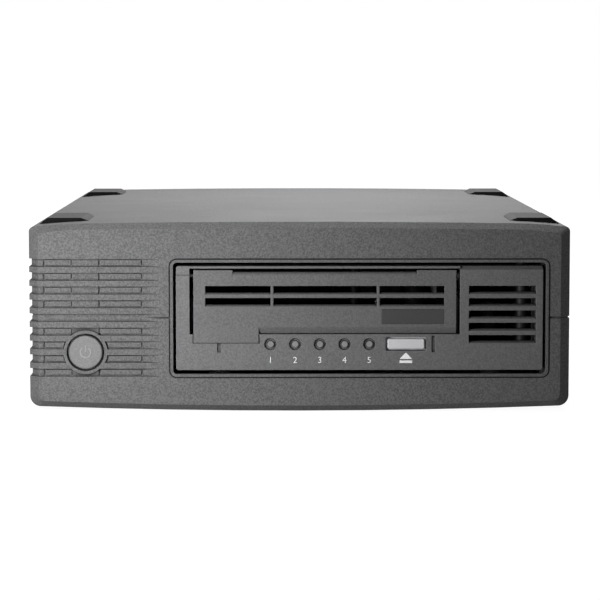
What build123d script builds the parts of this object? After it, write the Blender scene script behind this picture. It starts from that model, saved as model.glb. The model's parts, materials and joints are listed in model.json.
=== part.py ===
from build123d import *
import math
import os

os.makedirs("parts", exist_ok=True)

# The origin is on the floor under the middle of the case. The front faces -Y, and +X is to the right.

# Clearances that all pieces share
overrun = 5.0  # how far a cut runs past the face that it opens
seat_gap = 0.1  # between fixed pieces that are set side by side
slide_gap = 0.3  # between pieces that move past each other
running_gap = 0.05  # radial, between a shaft and its bore

# Case
case_width = 221.0
case_depth = 303.0
case_height = 78.0
case_wall = 2.5
foot_stand = 0.3  # the case's lowest line above the floor
crown_drop = 0.65  # how far the top falls from its middle to where its shoulders start
side_drop = 2.2  # how far it falls to its side edges
crown_share = 0.79  # of the half width, where the shoulders start
floor_crown = 2.1
upper_corner = 2.0
lower_corner = 4.4
inner_corner = 1.0
front_bevel_side = 3.9
front_bevel_top = 2.4
front_bevel_bottom = 2.5
front_bevel_depth = 3.2
front_upper_corner = 1.3
front_lower_corner = 3.0
front_cavity_inset = 5.2
rim_raise = 0.6
rim_width = 1.1
rim_groove_width = 0.6
rim_groove_depth = 0.5
seam_height = 38.9
seam_half = 0.45
seam_depth = 1.0
seam_taper = 60

front_y = -case_depth / 2 + rim_raise
rear_y = case_depth / 2
bevel_y = front_y + front_bevel_depth
inner_front_y = front_y + case_wall
half_width = case_width / 2

# Drive bezel and the opening that it stands in
bezel_side = 11.15  # from the case's right side
bezel_width = 149.85
bezel_bottom = 17.4
bezel_height = 42.55
bezel_gap = 1.2  # at its ends
bezel_gap_high = 1.6  # above and below it
bezel_corner = 1.0
bezel_recess = 0.5
bezel_plate = 2.2
bezel_depth = 8.0
bezel_skirt = 1.2

bezel_right = half_width - bezel_side
bezel_left = bezel_right - bezel_width
bezel_top = bezel_bottom + bezel_height
bezel_x = bezel_left + bezel_width / 2
bezel_z = bezel_bottom + bezel_height / 2
bezel_y = front_y + bezel_recess
opening_width = bezel_width + 2 * bezel_gap
opening_height = bezel_height + 2 * bezel_gap_high
opening_corner = bezel_corner + bezel_gap / 2

# Vent field at the left of the front
vent_rows = 9
vent_pitch = 5.62
vent_slot = 3.27
vent_depth = 1.2
vent_side = 5.8  # from the case's left side to the windows
vent_bezel_gap = 13.7  # from the windows to the bezel
vent_ramp = 7.9  # the grooves run out to the front face over this length
vent_inner_share = 0.4444  # of the windows' run
vent_outer_share = 0.2938
vent_side_reach = 9.0  # how far the grooves run back along the side
vent_side_ramp = 5.0
vent_side_window = 3.4

vent_middle_row = vent_rows // 2
vent_left = -half_width + vent_side
vent_right = bezel_left - vent_bezel_gap
vent_inner_window = vent_inner_share * (vent_right - vent_left)
vent_outer_window = vent_outer_share * (vent_right - vent_left)

# Power button
button_radius = 6.9
button_groove = 0.85
button_ring_radius = 9.0
button_ring_depth = 6.0
button_proud = 0.3
button_travel = 2.0
button_height = 24.8
button_flange = 1.0
button_flange_step = 0.9
button_stem = 2.2
button_side = 23.0  # from the case's left side to its middle
button_x = -half_width + button_side

# Case screws and their bosses
screw_radius = 1.5
screw_head_radius = 2.8
screw_head_height = 1.8
screw_length = 42.0
screw_pilot = 1.25
boss_radius = 4.2
boss_side_inset = 6.6
boss_front_inset = 17.0
boss_rear_inset = 17.0
screw_sink = 5.0
recess_length = 3.0
recess_width = 0.7
recess_depth = 0.8

# Feet and pads
foot_radius = 8.0
foot_seat = 2.6  # height of the pocket's roof over the floor
foot_edge = 0.6
foot_side_inset = 22.0
foot_end_inset = 31.0
pad_rise = 0.7  # pad tops over the middle of the case
pad_front_inset = 19.0
pad_length = 38.0
pad_side_inset = 0.5
pad_width = 22.5
pad_corner = 5.0
pad_ramp = 3.0
pad_slope_run = 5.6
pad_slope_drop = 4.2

# Rear panel
panel_thickness = 1.5
panel_inset = 4.0
panel_groove = 1.0
panel_y = rear_y - panel_inset - panel_thickness


def facing(y):
    """A sketch plane at depth y that faces the front; a negative extrusion runs to the rear."""
    return Plane.XZ.offset(-y)


def case_section(plane, side_inset, top_inset, floor_inset, upper_radius, lower_radius):
    """The case's outline from the front, drawn inside its faces by the given insets."""
    half = half_width - side_inset
    crown_half = half_width * crown_share
    top = case_height - top_inset
    under_z = foot_stand + floor_inset
    with BuildSketch(plane) as section:
        with BuildLine():
            crown = ThreePointArc(
                (-crown_half, top - crown_drop), (0, top), (crown_half, top - crown_drop)
            )
            right = TangentArc(crown @ 1, (half, top - side_drop), tangent=crown % 1)
            left = TangentArc(crown @ 0, (-half, top - side_drop), tangent=(crown % 0) * -1)
            under = ThreePointArc(
                (-half, under_z + floor_crown), (0, under_z), (half, under_z + floor_crown)
            )
            Line(right @ 1, under @ 1)
            Line(left @ 1, under @ 0)
        make_face()
        sides = section.vertices().group_by(Axis.X)
        fillet([sides[0].sort_by(Axis.Y)[-1], sides[-1].sort_by(Axis.Y)[-1]], upper_radius)
        sides = section.vertices().group_by(Axis.X)
        fillet([sides[0].sort_by(Axis.Y)[0], sides[-1].sort_by(Axis.Y)[0]], lower_radius)
    return section.sketch


def cross_recess(plane, places):
    """Crosses for a driver, one at each place."""
    with BuildSketch(plane) as crosses:
        with Locations(*places):
            Rectangle(recess_length, recess_width)
            Rectangle(recess_width, recess_length)
    return crosses.sketch


def row_height(row):
    """Middle height of a vent row, counted from the top."""
    return seam_height + (vent_middle_row - row) * vent_pitch


def rounded_frame(plane, x, z, width, height, radius, band):
    """A rectangular band around an opening."""
    with BuildSketch(plane) as frame:
        with Locations((x, z)):
            RectangleRounded(width + 2 * band, height + 2 * band, radius + band)
            RectangleRounded(width, height, radius, mode=Mode.SUBTRACT)
    return frame.sketch


# Case envelope: the outer form that both shells share
with BuildPart() as case_envelope:
    loft(
        [
            case_section(
                facing(front_y),
                front_bevel_side,
                front_bevel_top,
                front_bevel_bottom,
                front_upper_corner,
                front_lower_corner,
            ),
            case_section(facing(bevel_y), 0, 0, 0, upper_corner, lower_corner),
        ],
        ruled=True,
    )
    extrude(
        case_section(facing(bevel_y), 0, 0, 0, upper_corner, lower_corner),
        amount=bevel_y - rear_y,
    )

# Seam groove: a V ring around the case at mid height
with BuildPart() as seam_groove:
    with BuildSketch(Plane.XY.offset(seam_height)):
        with Locations((0, (front_y + rear_y) / 2)):
            Rectangle(case_width + 2 * overrun, rear_y - front_y + 2 * overrun)
    extrude(amount=seam_half, both=True)
    with BuildSketch(Plane.XY.offset(seam_height)) as seam_plan:
        with BuildLine():
            Polyline(
                (-half_width + seam_depth, rear_y - seam_depth),
                (-half_width + seam_depth, bevel_y),
                (-half_width + front_bevel_side, front_y + seam_depth),
                (half_width - front_bevel_side, front_y + seam_depth),
                (half_width - seam_depth, bevel_y),
                (half_width - seam_depth, rear_y - seam_depth),
                close=True,
            )
        make_face()
    extrude(amount=seam_half, both=True, taper=-seam_taper, mode=Mode.SUBTRACT)

# Vent grooves and windows, as one cutting tool
vent_floor_y = front_y + vent_depth
with BuildPart() as vent_cut:
    for row in range(vent_rows):
        with BuildSketch(Plane.XY.offset(row_height(row) - vent_slot / 2)):
            with BuildLine():
                Polyline(
                    (vent_right + vent_ramp, front_y),
                    (vent_right, vent_floor_y),
                    (-half_width + front_bevel_side, vent_floor_y),
                    (-half_width + vent_depth, bevel_y + vent_depth),
                    (-half_width + vent_depth, front_y + vent_side_reach),
                    (-half_width, front_y + vent_side_reach + vent_side_ramp),
                    (-half_width - overrun, front_y + vent_side_reach + vent_side_ramp),
                    (-half_width - overrun, front_y - overrun),
                    (vent_right + vent_ramp, front_y - overrun),
                    close=True,
                )
            make_face()
        extrude(amount=vent_slot)
        if row != vent_middle_row:
            window_y = (front_y + inner_front_y + front_bevel_depth) / 2
            window_run = case_wall + front_bevel_depth
            with Locations(
                (vent_right - vent_inner_window / 2, window_y, row_height(row)),
            ):
                Box(vent_inner_window, window_run, vent_slot)
            with Locations(
                (vent_left + vent_outer_window / 2, window_y, row_height(row)),
            ):
                Box(vent_outer_window, window_run, vent_slot)
            with Locations(
                (
                    -half_width + case_wall / 2,
                    front_y + vent_side_reach - vent_side_window / 2,
                    row_height(row),
                )
            ):
                Box(case_wall + seat_gap, vent_side_window, vent_slot)

# Case body: the hollow form with every opening, before it is parted at the seam
with BuildPart() as case_body:
    add(case_envelope.part)
    extrude(
        case_section(
            facing(inner_front_y),
            front_cavity_inset,
            case_wall + front_bevel_top,
            case_wall + front_bevel_bottom,
            inner_corner,
            inner_corner,
        ),
        amount=-case_wall - front_bevel_depth,
        mode=Mode.SUBTRACT,
    )
    extrude(
        case_section(
            facing(inner_front_y + front_bevel_depth),
            case_wall,
            case_wall,
            case_wall,
            inner_corner,
            inner_corner,
        ),
        amount=inner_front_y - rear_y - overrun,
        mode=Mode.SUBTRACT,
    )
    extrude(
        case_section(
            facing(panel_y - seat_gap),
            case_wall - panel_groove,
            case_wall - panel_groove,
            case_wall - panel_groove,
            inner_corner,
            inner_corner,
        ),
        amount=-panel_thickness - 2 * seat_gap,
        mode=Mode.SUBTRACT,
    )
    add(seam_groove.part, mode=Mode.SUBTRACT)
    add(vent_cut.part, mode=Mode.SUBTRACT)
    extrude(
        rounded_frame(
            facing(front_y),
            bezel_x,
            bezel_z,
            opening_width + 2 * rim_width,
            opening_height + 2 * rim_width,
            opening_corner + rim_width,
            rim_groove_width,
        ),
        amount=-rim_groove_depth,
        mode=Mode.SUBTRACT,
    )
    extrude(
        rounded_frame(
            facing(front_y + rim_groove_depth),
            bezel_x,
            bezel_z,
            opening_width,
            opening_height,
            opening_corner,
            rim_width,
        ),
        amount=rim_groove_depth + rim_raise,
    )
    with BuildSketch(facing(front_y - overrun)):
        with Locations((bezel_x, bezel_z)):
            RectangleRounded(opening_width, opening_height, opening_corner)
    extrude(amount=-case_wall - 2 * overrun, mode=Mode.SUBTRACT)
    with BuildSketch(facing(front_y)):
        with Locations((button_x, button_height)):
            Circle(button_ring_radius)
    extrude(amount=-button_ring_depth)
    with BuildSketch(facing(front_y - overrun)):
        with Locations((button_x, button_height)):
            Circle(button_radius + button_groove)
    extrude(amount=-button_ring_depth - 2 * overrun, mode=Mode.SUBTRACT)
    with BuildSketch(Plane.XY):
        with GridLocations(
            case_width - 2 * foot_side_inset, rear_y - front_y - 2 * foot_end_inset, 2, 2
        ):
            Circle(foot_radius + seat_gap)
    extrude(amount=foot_seat, mode=Mode.SUBTRACT)

boss_front_y = front_y + boss_front_inset
boss_rear_y = rear_y - boss_rear_inset
boss_places = [
    (side * (half_width - boss_side_inset), y)
    for side in (-1, 1)
    for y in (boss_front_y, boss_rear_y)
]
screw_tip_z = screw_sink + screw_head_height + screw_length
case_floor_z = foot_stand + case_wall
case_roof_z = case_height - case_wall

# Drive cradle: the sheet that carries the drive on posts of the lower shell
drive_inset = 1.9  # from the bezel's sides to the drive's
drive_width = bezel_width - 2 * drive_inset
drive_height = 41.3
drive_length = 203.0
drive_x = bezel_x
drive_bottom = bezel_z - drive_height / 2
drive_top = bezel_z + drive_height / 2
drive_front_y = bezel_y + bezel_depth
drive_rear_y = drive_front_y + drive_length
drive_left = drive_x - drive_width / 2
drive_right = drive_x + drive_width / 2
cradle_sheet = 1.2
cradle_flange_height = 16.0
cradle_front_inset = 22.0
cradle_length = 165.0
cradle_post_radius = 5.0
cradle_post_side_inset = 15.0
cradle_post_end_inset = 14.0
cradle_slot_width = 60.0
cradle_slot_length = 30.0
plate_screw_head = 0.7  # sunk in the cradle's sheet
cradle_bottom = drive_bottom - cradle_sheet
cradle_y = drive_front_y + cradle_front_inset + cradle_length / 2
cradle_post_spread_x = drive_width - 2 * cradle_post_side_inset
cradle_post_spread_y = cradle_length - 2 * cradle_post_end_inset

# Lower shell
lip_thickness = 1.0
lip_rise = 2.0
lip_root = 3.0
lip_end_inset = 30.0
lip_length = rear_y - front_y - 2 * lip_end_inset
board_post_radius = 3.0
supply_board_z = 12.0

# Power supply
supply_length = 150.0
supply_board = 1.6
supply_front_inset = 30.0
supply_gap = 4.0
supply_right = drive_left - supply_gap - cradle_sheet
supply_left = -half_width + boss_side_inset + boss_radius
supply_width = supply_right - supply_left
supply_x = (supply_left + supply_right) / 2
supply_y = front_y + supply_front_inset + supply_length / 2
supply_post_inset = 4.0
supply_post_spread_x = supply_width - 2 * supply_post_inset
supply_post_spread_y = supply_length - 2 * supply_post_inset

# Power button and its switch board, which stands in two slotted rails of the lower shell
button_edge = 0.6
button_stem_length = 9.0
button_face_y = front_y - button_proud
button_flange_y = front_y + button_ring_depth + slide_gap
button_stem_end_y = button_flange_y + button_flange + button_stem_length
switch_side = 6.0
switch_plunger = 1.6
switch_plunger_length = 1.0
switch_depth = 4.0
switch_board = 1.6
switch_board_width = 20.0
switch_rail = 4.0
switch_rail_grip = 1.5
switch_board_rise = 8.0  # above the switch
switch_y = button_stem_end_y + button_travel + slide_gap + switch_plunger_length
switch_board_y = switch_y + switch_depth
switch_board_top = button_height + switch_board_rise
switch_board_bottom = case_floor_z + floor_crown

with BuildPart() as lower_shell:
    add(case_body.part)
    split(bisect_by=Plane.XY.offset(seam_height), keep=Keep.BOTTOM)
    for x, y in boss_places:
        with BuildSketch(Plane.XY.offset(case_floor_z)):
            with Locations((x, y)):
                Circle(boss_radius)
        extrude(amount=seam_height - case_floor_z)
    with BuildSketch(Plane.XY.offset(case_floor_z)):
        with Locations((drive_x, cradle_y)):
            with GridLocations(cradle_post_spread_x, cradle_post_spread_y, 2, 2):
                Circle(cradle_post_radius)
    extrude(amount=cradle_bottom - case_floor_z)
    with BuildSketch(Plane.XY.offset(case_floor_z)):
        with Locations((supply_x, supply_y)):
            with GridLocations(supply_post_spread_x, supply_post_spread_y, 2, 2):
                Circle(board_post_radius)
    extrude(amount=supply_board_z - case_floor_z)
    with BuildSketch(Plane.XY.offset(case_floor_z)):
        with Locations((button_x, switch_board_y + switch_board / 2)):
            with GridLocations(switch_board_width, 0, 2, 1):
                Rectangle(2 * switch_rail_grip, switch_rail)
            Rectangle(switch_board_width, switch_rail)
    extrude(amount=button_height - switch_side - case_floor_z)
    with Locations((button_x, switch_board_y + switch_board / 2, switch_board_top)):
        Box(
            switch_board_width + 2 * seat_gap,
            switch_board + 2 * seat_gap,
            2 * (switch_board_top - switch_board_bottom + seat_gap),
            mode=Mode.SUBTRACT,
        )
        Box(
            switch_board_width - 2 * switch_rail_grip,
            switch_rail,
            2 * (switch_board_top - switch_board_bottom + seat_gap),
            mode=Mode.SUBTRACT,
        )
    for side in (-1, 1):
        wall_x = side * (half_width - case_wall)
        with Locations((wall_x - side * lip_thickness / 2, 0, seam_height - lip_root / 2)):
            Box(lip_thickness + 2 * seat_gap, lip_length, lip_root)
        with Locations(
            (wall_x - side * (lip_thickness / 2 + seat_gap), 0, seam_height + lip_rise / 2)
        ):
            Box(lip_thickness, lip_length, lip_rise)
    for x, y in boss_places:
        with Locations(Location((x, y, 0), (180, 0, 0))):
            CounterBoreHole(
                radius=screw_radius + seat_gap,
                counter_bore_radius=screw_head_radius + seat_gap,
                counter_bore_depth=screw_sink + screw_head_height,
                depth=seam_height + overrun,
            )
    with BuildSketch(Plane.XY.offset(cradle_bottom)):
        with Locations((drive_x, cradle_y)):
            with GridLocations(cradle_post_spread_x, cradle_post_spread_y, 2, 2):
                Circle(screw_pilot)
    extrude(amount=case_floor_z + foot_stand - cradle_bottom, mode=Mode.SUBTRACT)
lower_shell.part.label = "lower_shell"
export_step(lower_shell.part, "parts/lower_shell.step")

# Upper shell
with BuildPart() as upper_shell:
    add(case_body.part)
    split(bisect_by=Plane.XY.offset(seam_height), keep=Keep.TOP)
    for x, y in boss_places:
        with BuildSketch(Plane.XY.offset(seam_height)):
            with Locations((x, y)):
                Circle(boss_radius)
        extrude(amount=case_roof_z - seam_height)
        with BuildSketch(Plane.XY.offset(seam_height)):
            with Locations((x, y)):
                Circle(screw_pilot)
        extrude(amount=screw_tip_z + seat_gap - seam_height, mode=Mode.SUBTRACT)
upper_shell.part.label = "upper_shell"
export_step(upper_shell.part, "parts/upper_shell.step")

# Stacking pads: one on each top corner, level with each other above the crowned top
pad_top = case_height + pad_rise
pad_x = half_width - pad_side_inset - pad_width / 2
pad_front_y = front_y + pad_front_inset + pad_length / 2
pad_rear_y = rear_y - pad_front_inset - pad_length / 2
with BuildPart() as stacking_pads:
    for y in (pad_front_y, pad_rear_y):
        with BuildSketch(facing(y - pad_length / 2)):
            for side in (-1, 1):
                with BuildLine():
                    Polyline(
                        (side * (pad_x + pad_width / 2), seam_height),
                        (side * (pad_x + pad_width / 2), pad_top - pad_slope_drop),
                        (side * (pad_x + pad_width / 2 - pad_slope_run), pad_top),
                        (side * (pad_x - pad_width / 2 + pad_ramp), pad_top),
                        (side * (pad_x - pad_width / 2), case_height - crown_drop),
                        (side * (pad_x - pad_width / 2), seam_height),
                        close=True,
                    )
                make_face()
        extrude(amount=-pad_length)
    with BuildSketch(Plane.XY.offset(seam_height)):
        for y in (pad_front_y, pad_rear_y):
            with Locations((-pad_x, y), (pad_x, y)):
                RectangleRounded(pad_width, pad_length, pad_corner)
    extrude(amount=pad_top, mode=Mode.INTERSECT)
    add(case_envelope.part, mode=Mode.SUBTRACT)
stacking_pads.part.label = "stacking_pads"
export_step(stacking_pads.part, "parts/stacking_pads.step")

# Rubber feet
with BuildPart() as rubber_feet:
    with BuildSketch():
        with GridLocations(
            case_width - 2 * foot_side_inset, rear_y - front_y - 2 * foot_end_inset, 2, 2
        ):
            Circle(foot_radius)
    extrude(amount=foot_seat)
    chamfer(rubber_feet.edges().group_by(Axis.Z)[0], foot_edge)
rubber_feet.part.label = "rubber_feet"
export_step(rubber_feet.part, "parts/rubber_feet.step")

# Case screws, driven from below into the upper shell's bosses
with BuildPart() as case_screws:
    for x, y in boss_places:
        with BuildSketch(Plane.XY.offset(screw_sink)):
            with Locations((x, y)):
                Circle(screw_head_radius)
        extrude(amount=screw_head_height)
        with BuildSketch(Plane.XY.offset(screw_sink + screw_head_height)):
            with Locations((x, y)):
                Circle(screw_pilot - running_gap)
        extrude(amount=screw_length)
    extrude(
        cross_recess(Plane.XY.offset(screw_sink), boss_places),
        amount=recess_depth,
        mode=Mode.SUBTRACT,
    )
case_screws.part.label = "case_screws"
export_step(case_screws.part, "parts/case_screws.step")

# Vent baffle: a plate behind the front wall whose pads stand in the windows
baffle_plate = 1.2
baffle_pad_gap = 0.6
baffle_pad_sink = 0.5
baffle_border = 2.2
baffle_hole_gap = 0.4
baffle_left = vent_left - seat_gap
baffle_right = vent_right + baffle_border
baffle_low = row_height(vent_rows - 1) - vent_slot / 2 - baffle_border
baffle_high = row_height(0) + vent_slot / 2 + baffle_border
with BuildPart() as vent_baffle:
    with BuildSketch(facing(inner_front_y + seat_gap)):
        with Locations(((baffle_left + baffle_right) / 2, (baffle_low + baffle_high) / 2)):
            Rectangle(baffle_right - baffle_left, baffle_high - baffle_low)
    extrude(amount=-baffle_plate)
    for row in range(vent_rows):
        if row != vent_middle_row:
            with BuildSketch(facing(inner_front_y + seat_gap)):
                with Locations((vent_right - vent_inner_window / 2, row_height(row))):
                    Rectangle(
                        vent_inner_window - 2 * baffle_pad_gap, vent_slot - 2 * baffle_pad_gap
                    )
                with Locations((vent_left + vent_outer_window / 2, row_height(row))):
                    Rectangle(
                        vent_outer_window - 2 * baffle_pad_gap, vent_slot - 2 * baffle_pad_gap
                    )
            extrude(amount=case_wall + seat_gap - vent_depth - baffle_pad_sink)
    for row in range(vent_rows - 1):
        with Locations(
            (
                (baffle_left + baffle_right) / 2,
                inner_front_y,
                row_height(row) - vent_pitch / 2,
            )
        ):
            Box(
                baffle_right - baffle_left - 2 * baffle_border,
                case_wall * 2,
                vent_pitch - vent_slot,
                mode=Mode.SUBTRACT,
            )
    with BuildSketch(facing(front_y)):
        with Locations((button_x, button_height)):
            Circle(button_ring_radius + baffle_hole_gap)
    extrude(amount=-button_ring_depth, mode=Mode.SUBTRACT)
vent_baffle.part.label = "vent_baffle"
export_step(vent_baffle.part, "parts/vent_baffle.step")

# Power button: a cap with a retaining flange and a stem
with BuildPart() as power_button:
    with BuildSketch(facing(button_face_y)):
        with Locations((button_x, button_height)):
            Circle(button_radius)
    extrude(amount=button_face_y - button_flange_y)
    fillet(power_button.edges().group_by(Axis.Y)[0], button_edge)
    with BuildSketch(facing(button_flange_y)):
        with Locations((button_x, button_height)):
            Circle(button_radius + button_groove + button_flange_step)
    extrude(amount=-button_flange)
    with BuildSketch(facing(button_flange_y + button_flange)):
        with Locations((button_x, button_height)):
            Circle(button_stem)
    extrude(amount=-button_stem_length)
power_button.part.label = "power_button"
export_step(power_button.part, "parts/power_button.step")

# Power switch and its board, which stands in two slotted rails of the lower shell
with BuildPart() as power_switch:
    with Locations((button_x, switch_y + switch_depth / 2, button_height)):
        Box(switch_side, switch_depth, switch_side)
    with BuildSketch(facing(switch_y)):
        with Locations((button_x, button_height)):
            Circle(switch_plunger)
    extrude(amount=switch_plunger_length)
power_switch.part.label = "power_switch"
export_step(power_switch.part, "parts/power_switch.step")

with BuildPart() as power_board:
    with Locations(
        (
            button_x,
            switch_board_y + switch_board / 2,
            (switch_board_bottom + switch_board_top) / 2,
        )
    ):
        Box(switch_board_width, switch_board, switch_board_top - switch_board_bottom)
power_board.part.label = "power_board"
export_step(power_board.part, "parts/power_board.step")

# Power button spring, a coil of wire around the stem between the flange and the switch board
button_spring_radius = 5.2
button_spring_wire = 0.4
button_spring_turns = 4.5
button_spring_low_y = button_flange_y + button_flange + button_spring_wire
button_spring_high_y = switch_board_y - button_spring_wire
button_spring_run = button_spring_high_y - button_spring_low_y
with BuildPart() as button_spring:
    with BuildLine():
        coil = Helix(
            pitch=button_spring_run / button_spring_turns,
            height=button_spring_run,
            radius=button_spring_radius,
            center=(button_x, button_spring_low_y, button_height),
            direction=(0, 1, 0),
        )
    with BuildSketch(Plane(origin=coil @ 0, z_dir=coil % 0)):
        Circle(button_spring_wire)
    sweep(path=coil, is_frenet=True)
button_spring.part.label = "button_spring"
export_step(button_spring.part, "parts/button_spring.step")

# Rear panel with the fan slots and the cut-outs for the inlet and the sockets
fan_side = 60.0
fan_depth = 15.0
fan_duct = 28.2
fan_wall_gap = 0.2
fan_inset = 48.5  # from the case's right side
rear_z = case_height / 2
fan_x = half_width - fan_inset
fan_z = rear_z
fan_screw_spread = 50.0
fan_slot = 3.6
fan_slot_pitch = 5.6
fan_slot_count = 9
fan_bar = 2.4
inlet_inset = 36.5  # from the case's left side
inlet_x = -half_width + inlet_inset
inlet_z = rear_z
inlet_width = 27.4
inlet_height = 20.0
inlet_flange_width = 50.0
inlet_flange_height = 23.0
inlet_flange = 2.4
inlet_corner = 3.0
inlet_depth = 16.0
inlet_bevel = 5.0
inlet_spread = 40.0
socket_width = 18.0
socket_height = 8.0
socket_depth = 18.0
socket_wall = 1.0
socket_cavity = 14.0
socket_spread = 24.0
socket_x = -8.0
socket_z = rear_z
socket_proud = 0.8
small_screw = 1.5
small_head = 2.7
small_head_height = 1.4


def inlet_outline(plane, inset):
    """The inlet's body: a rectangle with two bevelled upper corners, drawn inside its faces by an inset."""
    half = inlet_width / 2 - inset
    low = inlet_z - inlet_height / 2 + inset
    high = inlet_z + inlet_height / 2 - inset
    bevel = inlet_bevel - inset / 2
    with BuildSketch(plane) as outline:
        with BuildLine():
            Polyline(
                (inlet_x - half, low),
                (inlet_x + half, low),
                (inlet_x + half, high - bevel),
                (inlet_x + half - bevel, high),
                (inlet_x - half + bevel, high),
                (inlet_x - half, high - bevel),
                close=True,
            )
        make_face()
    return outline.sketch


with BuildPart() as rear_panel:
    extrude(
        case_section(
            facing(panel_y),
            case_wall - panel_groove + seat_gap,
            case_wall - panel_groove + seat_gap,
            case_wall - panel_groove + seat_gap,
            inner_corner,
            inner_corner,
        ),
        amount=-panel_thickness,
    )
    for step in range(fan_slot_count):
        slot_rise = (step - (fan_slot_count - 1) / 2) * fan_slot_pitch
        slot_half = math.sqrt((fan_duct - fan_bar) ** 2 - slot_rise**2)
        with Locations((fan_x, panel_y + panel_thickness / 2, fan_z + slot_rise)):
            Box(2 * slot_half, panel_thickness * 2, fan_slot, mode=Mode.SUBTRACT)
    with Locations((fan_x, panel_y + panel_thickness / 2, fan_z)):
        Box(fan_bar, panel_thickness, 2 * fan_duct)
    with BuildSketch(facing(panel_y)):
        with Locations((fan_x, fan_z)):
            with GridLocations(fan_screw_spread, fan_screw_spread, 2, 2):
                Circle(small_screw + seat_gap)
        with Locations((inlet_x, inlet_z)):
            with GridLocations(inlet_spread, 0, 2, 1):
                Circle(small_screw + seat_gap)
        with Locations((socket_x, socket_z)):
            with GridLocations(socket_spread, 0, 2, 1):
                Rectangle(socket_width + 2 * seat_gap, socket_height + 2 * seat_gap)
    extrude(amount=-panel_thickness, mode=Mode.SUBTRACT)
    extrude(
        inlet_outline(facing(panel_y), -seat_gap), amount=-panel_thickness, mode=Mode.SUBTRACT
    )
rear_panel.part.label = "rear_panel"
export_step(rear_panel.part, "parts/rear_panel.step")

# Fan: frame with its motor carrier, and the rotor
fan_hub = 12.0
fan_hub_gap = 0.6
fan_shaft = 1.5
fan_carrier = 2.4
fan_strut = 3.0
fan_blades = 7
fan_blade_thickness = 1.4
fan_blade_chord = 11.0
fan_blade_angle = 38.0
fan_blade_gap = 1.0
fan_hub_depth = 9.5
fan_corner = 3.0
fan_y = panel_y - seat_gap - fan_depth  # front face of the frame
fan_carrier_y = fan_y + fan_depth - fan_carrier
with BuildPart() as fan_frame:
    with BuildSketch(facing(fan_y)):
        with Locations((fan_x, fan_z)):
            RectangleRounded(fan_side, fan_side, fan_corner)
            Circle(fan_duct, mode=Mode.SUBTRACT)
            with GridLocations(fan_screw_spread, fan_screw_spread, 2, 2):
                Circle(small_screw + seat_gap, mode=Mode.SUBTRACT)
    extrude(amount=-fan_depth)
    with BuildSketch(facing(fan_carrier_y)):
        with Locations((fan_x, fan_z)):
            Circle(fan_hub)
            Rectangle(2 * fan_duct + fan_wall_gap, fan_strut)
            Rectangle(fan_strut, 2 * fan_duct + fan_wall_gap)
    extrude(amount=-fan_carrier)
    with BuildSketch(facing(fan_carrier_y)):
        with Locations((fan_x, fan_z)):
            Circle(fan_shaft)
    extrude(amount=fan_hub_depth)
fan_frame.part.label = "fan_frame"
export_step(fan_frame.part, "parts/fan_frame.step")

fan_hub_y = fan_carrier_y - fan_hub_gap - fan_hub_depth
with BuildPart() as fan_rotor:
    with BuildSketch(facing(fan_hub_y)):
        with Locations((fan_x, fan_z)):
            Circle(fan_hub)
    extrude(amount=-fan_hub_depth)
    hub_centre = Plane(
        (fan_x, fan_hub_y + fan_hub_depth / 2, fan_z), x_dir=(1, 0, 0), z_dir=(0, -1, 0)
    )
    blade_span = fan_duct - fan_blade_gap - fan_hub / 2
    with Locations(hub_centre):
        with PolarLocations(fan_hub / 2 + blade_span / 2, fan_blades):
            Box(
                blade_span,
                fan_blade_chord,
                fan_blade_thickness,
                rotation=(fan_blade_angle, 0, 0),
            )
    with BuildSketch(facing(fan_hub_y - overrun)):
        with Locations((fan_x, fan_z)):
            Circle(fan_shaft + running_gap)
    extrude(amount=-fan_hub_depth - 2 * overrun, mode=Mode.SUBTRACT)
fan_rotor.part.label = "fan_rotor"
export_step(fan_rotor.part, "parts/fan_rotor.step")

# Mains inlet
inlet_wall = 1.6
inlet_back = 2.0
inlet_pin_width = 2.0
inlet_pin_height = 4.0
inlet_pin_length = 11.0
inlet_pin_spread = 7.0
inlet_pin_drop = 2.0
inlet_flange_y = panel_y + panel_thickness
inlet_back_y = inlet_flange_y + inlet_flange - inlet_depth
with BuildPart() as mains_inlet:
    with BuildSketch(facing(inlet_flange_y)):
        with Locations((inlet_x, inlet_z)):
            RectangleRounded(inlet_flange_width, inlet_flange_height, inlet_corner)
            with GridLocations(inlet_spread, 0, 2, 1):
                Circle(small_screw + seat_gap, mode=Mode.SUBTRACT)
    extrude(amount=-inlet_flange)
    extrude(
        inlet_outline(facing(inlet_back_y), seat_gap / 2), amount=inlet_back_y - inlet_flange_y
    )
    extrude(
        inlet_outline(facing(inlet_back_y + inlet_back), inlet_wall),
        amount=-inlet_depth,
        mode=Mode.SUBTRACT,
    )
    with BuildSketch(facing(inlet_back_y + inlet_back)):
        with Locations(
            (inlet_x - inlet_pin_spread, inlet_z - inlet_pin_drop),
            (inlet_x, inlet_z + inlet_pin_drop),
            (inlet_x + inlet_pin_spread, inlet_z - inlet_pin_drop),
        ):
            Rectangle(inlet_pin_width, inlet_pin_height)
    extrude(amount=-inlet_pin_length)
mains_inlet.part.label = "mains_inlet"
export_step(mains_inlet.part, "parts/mains_inlet.step")

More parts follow.
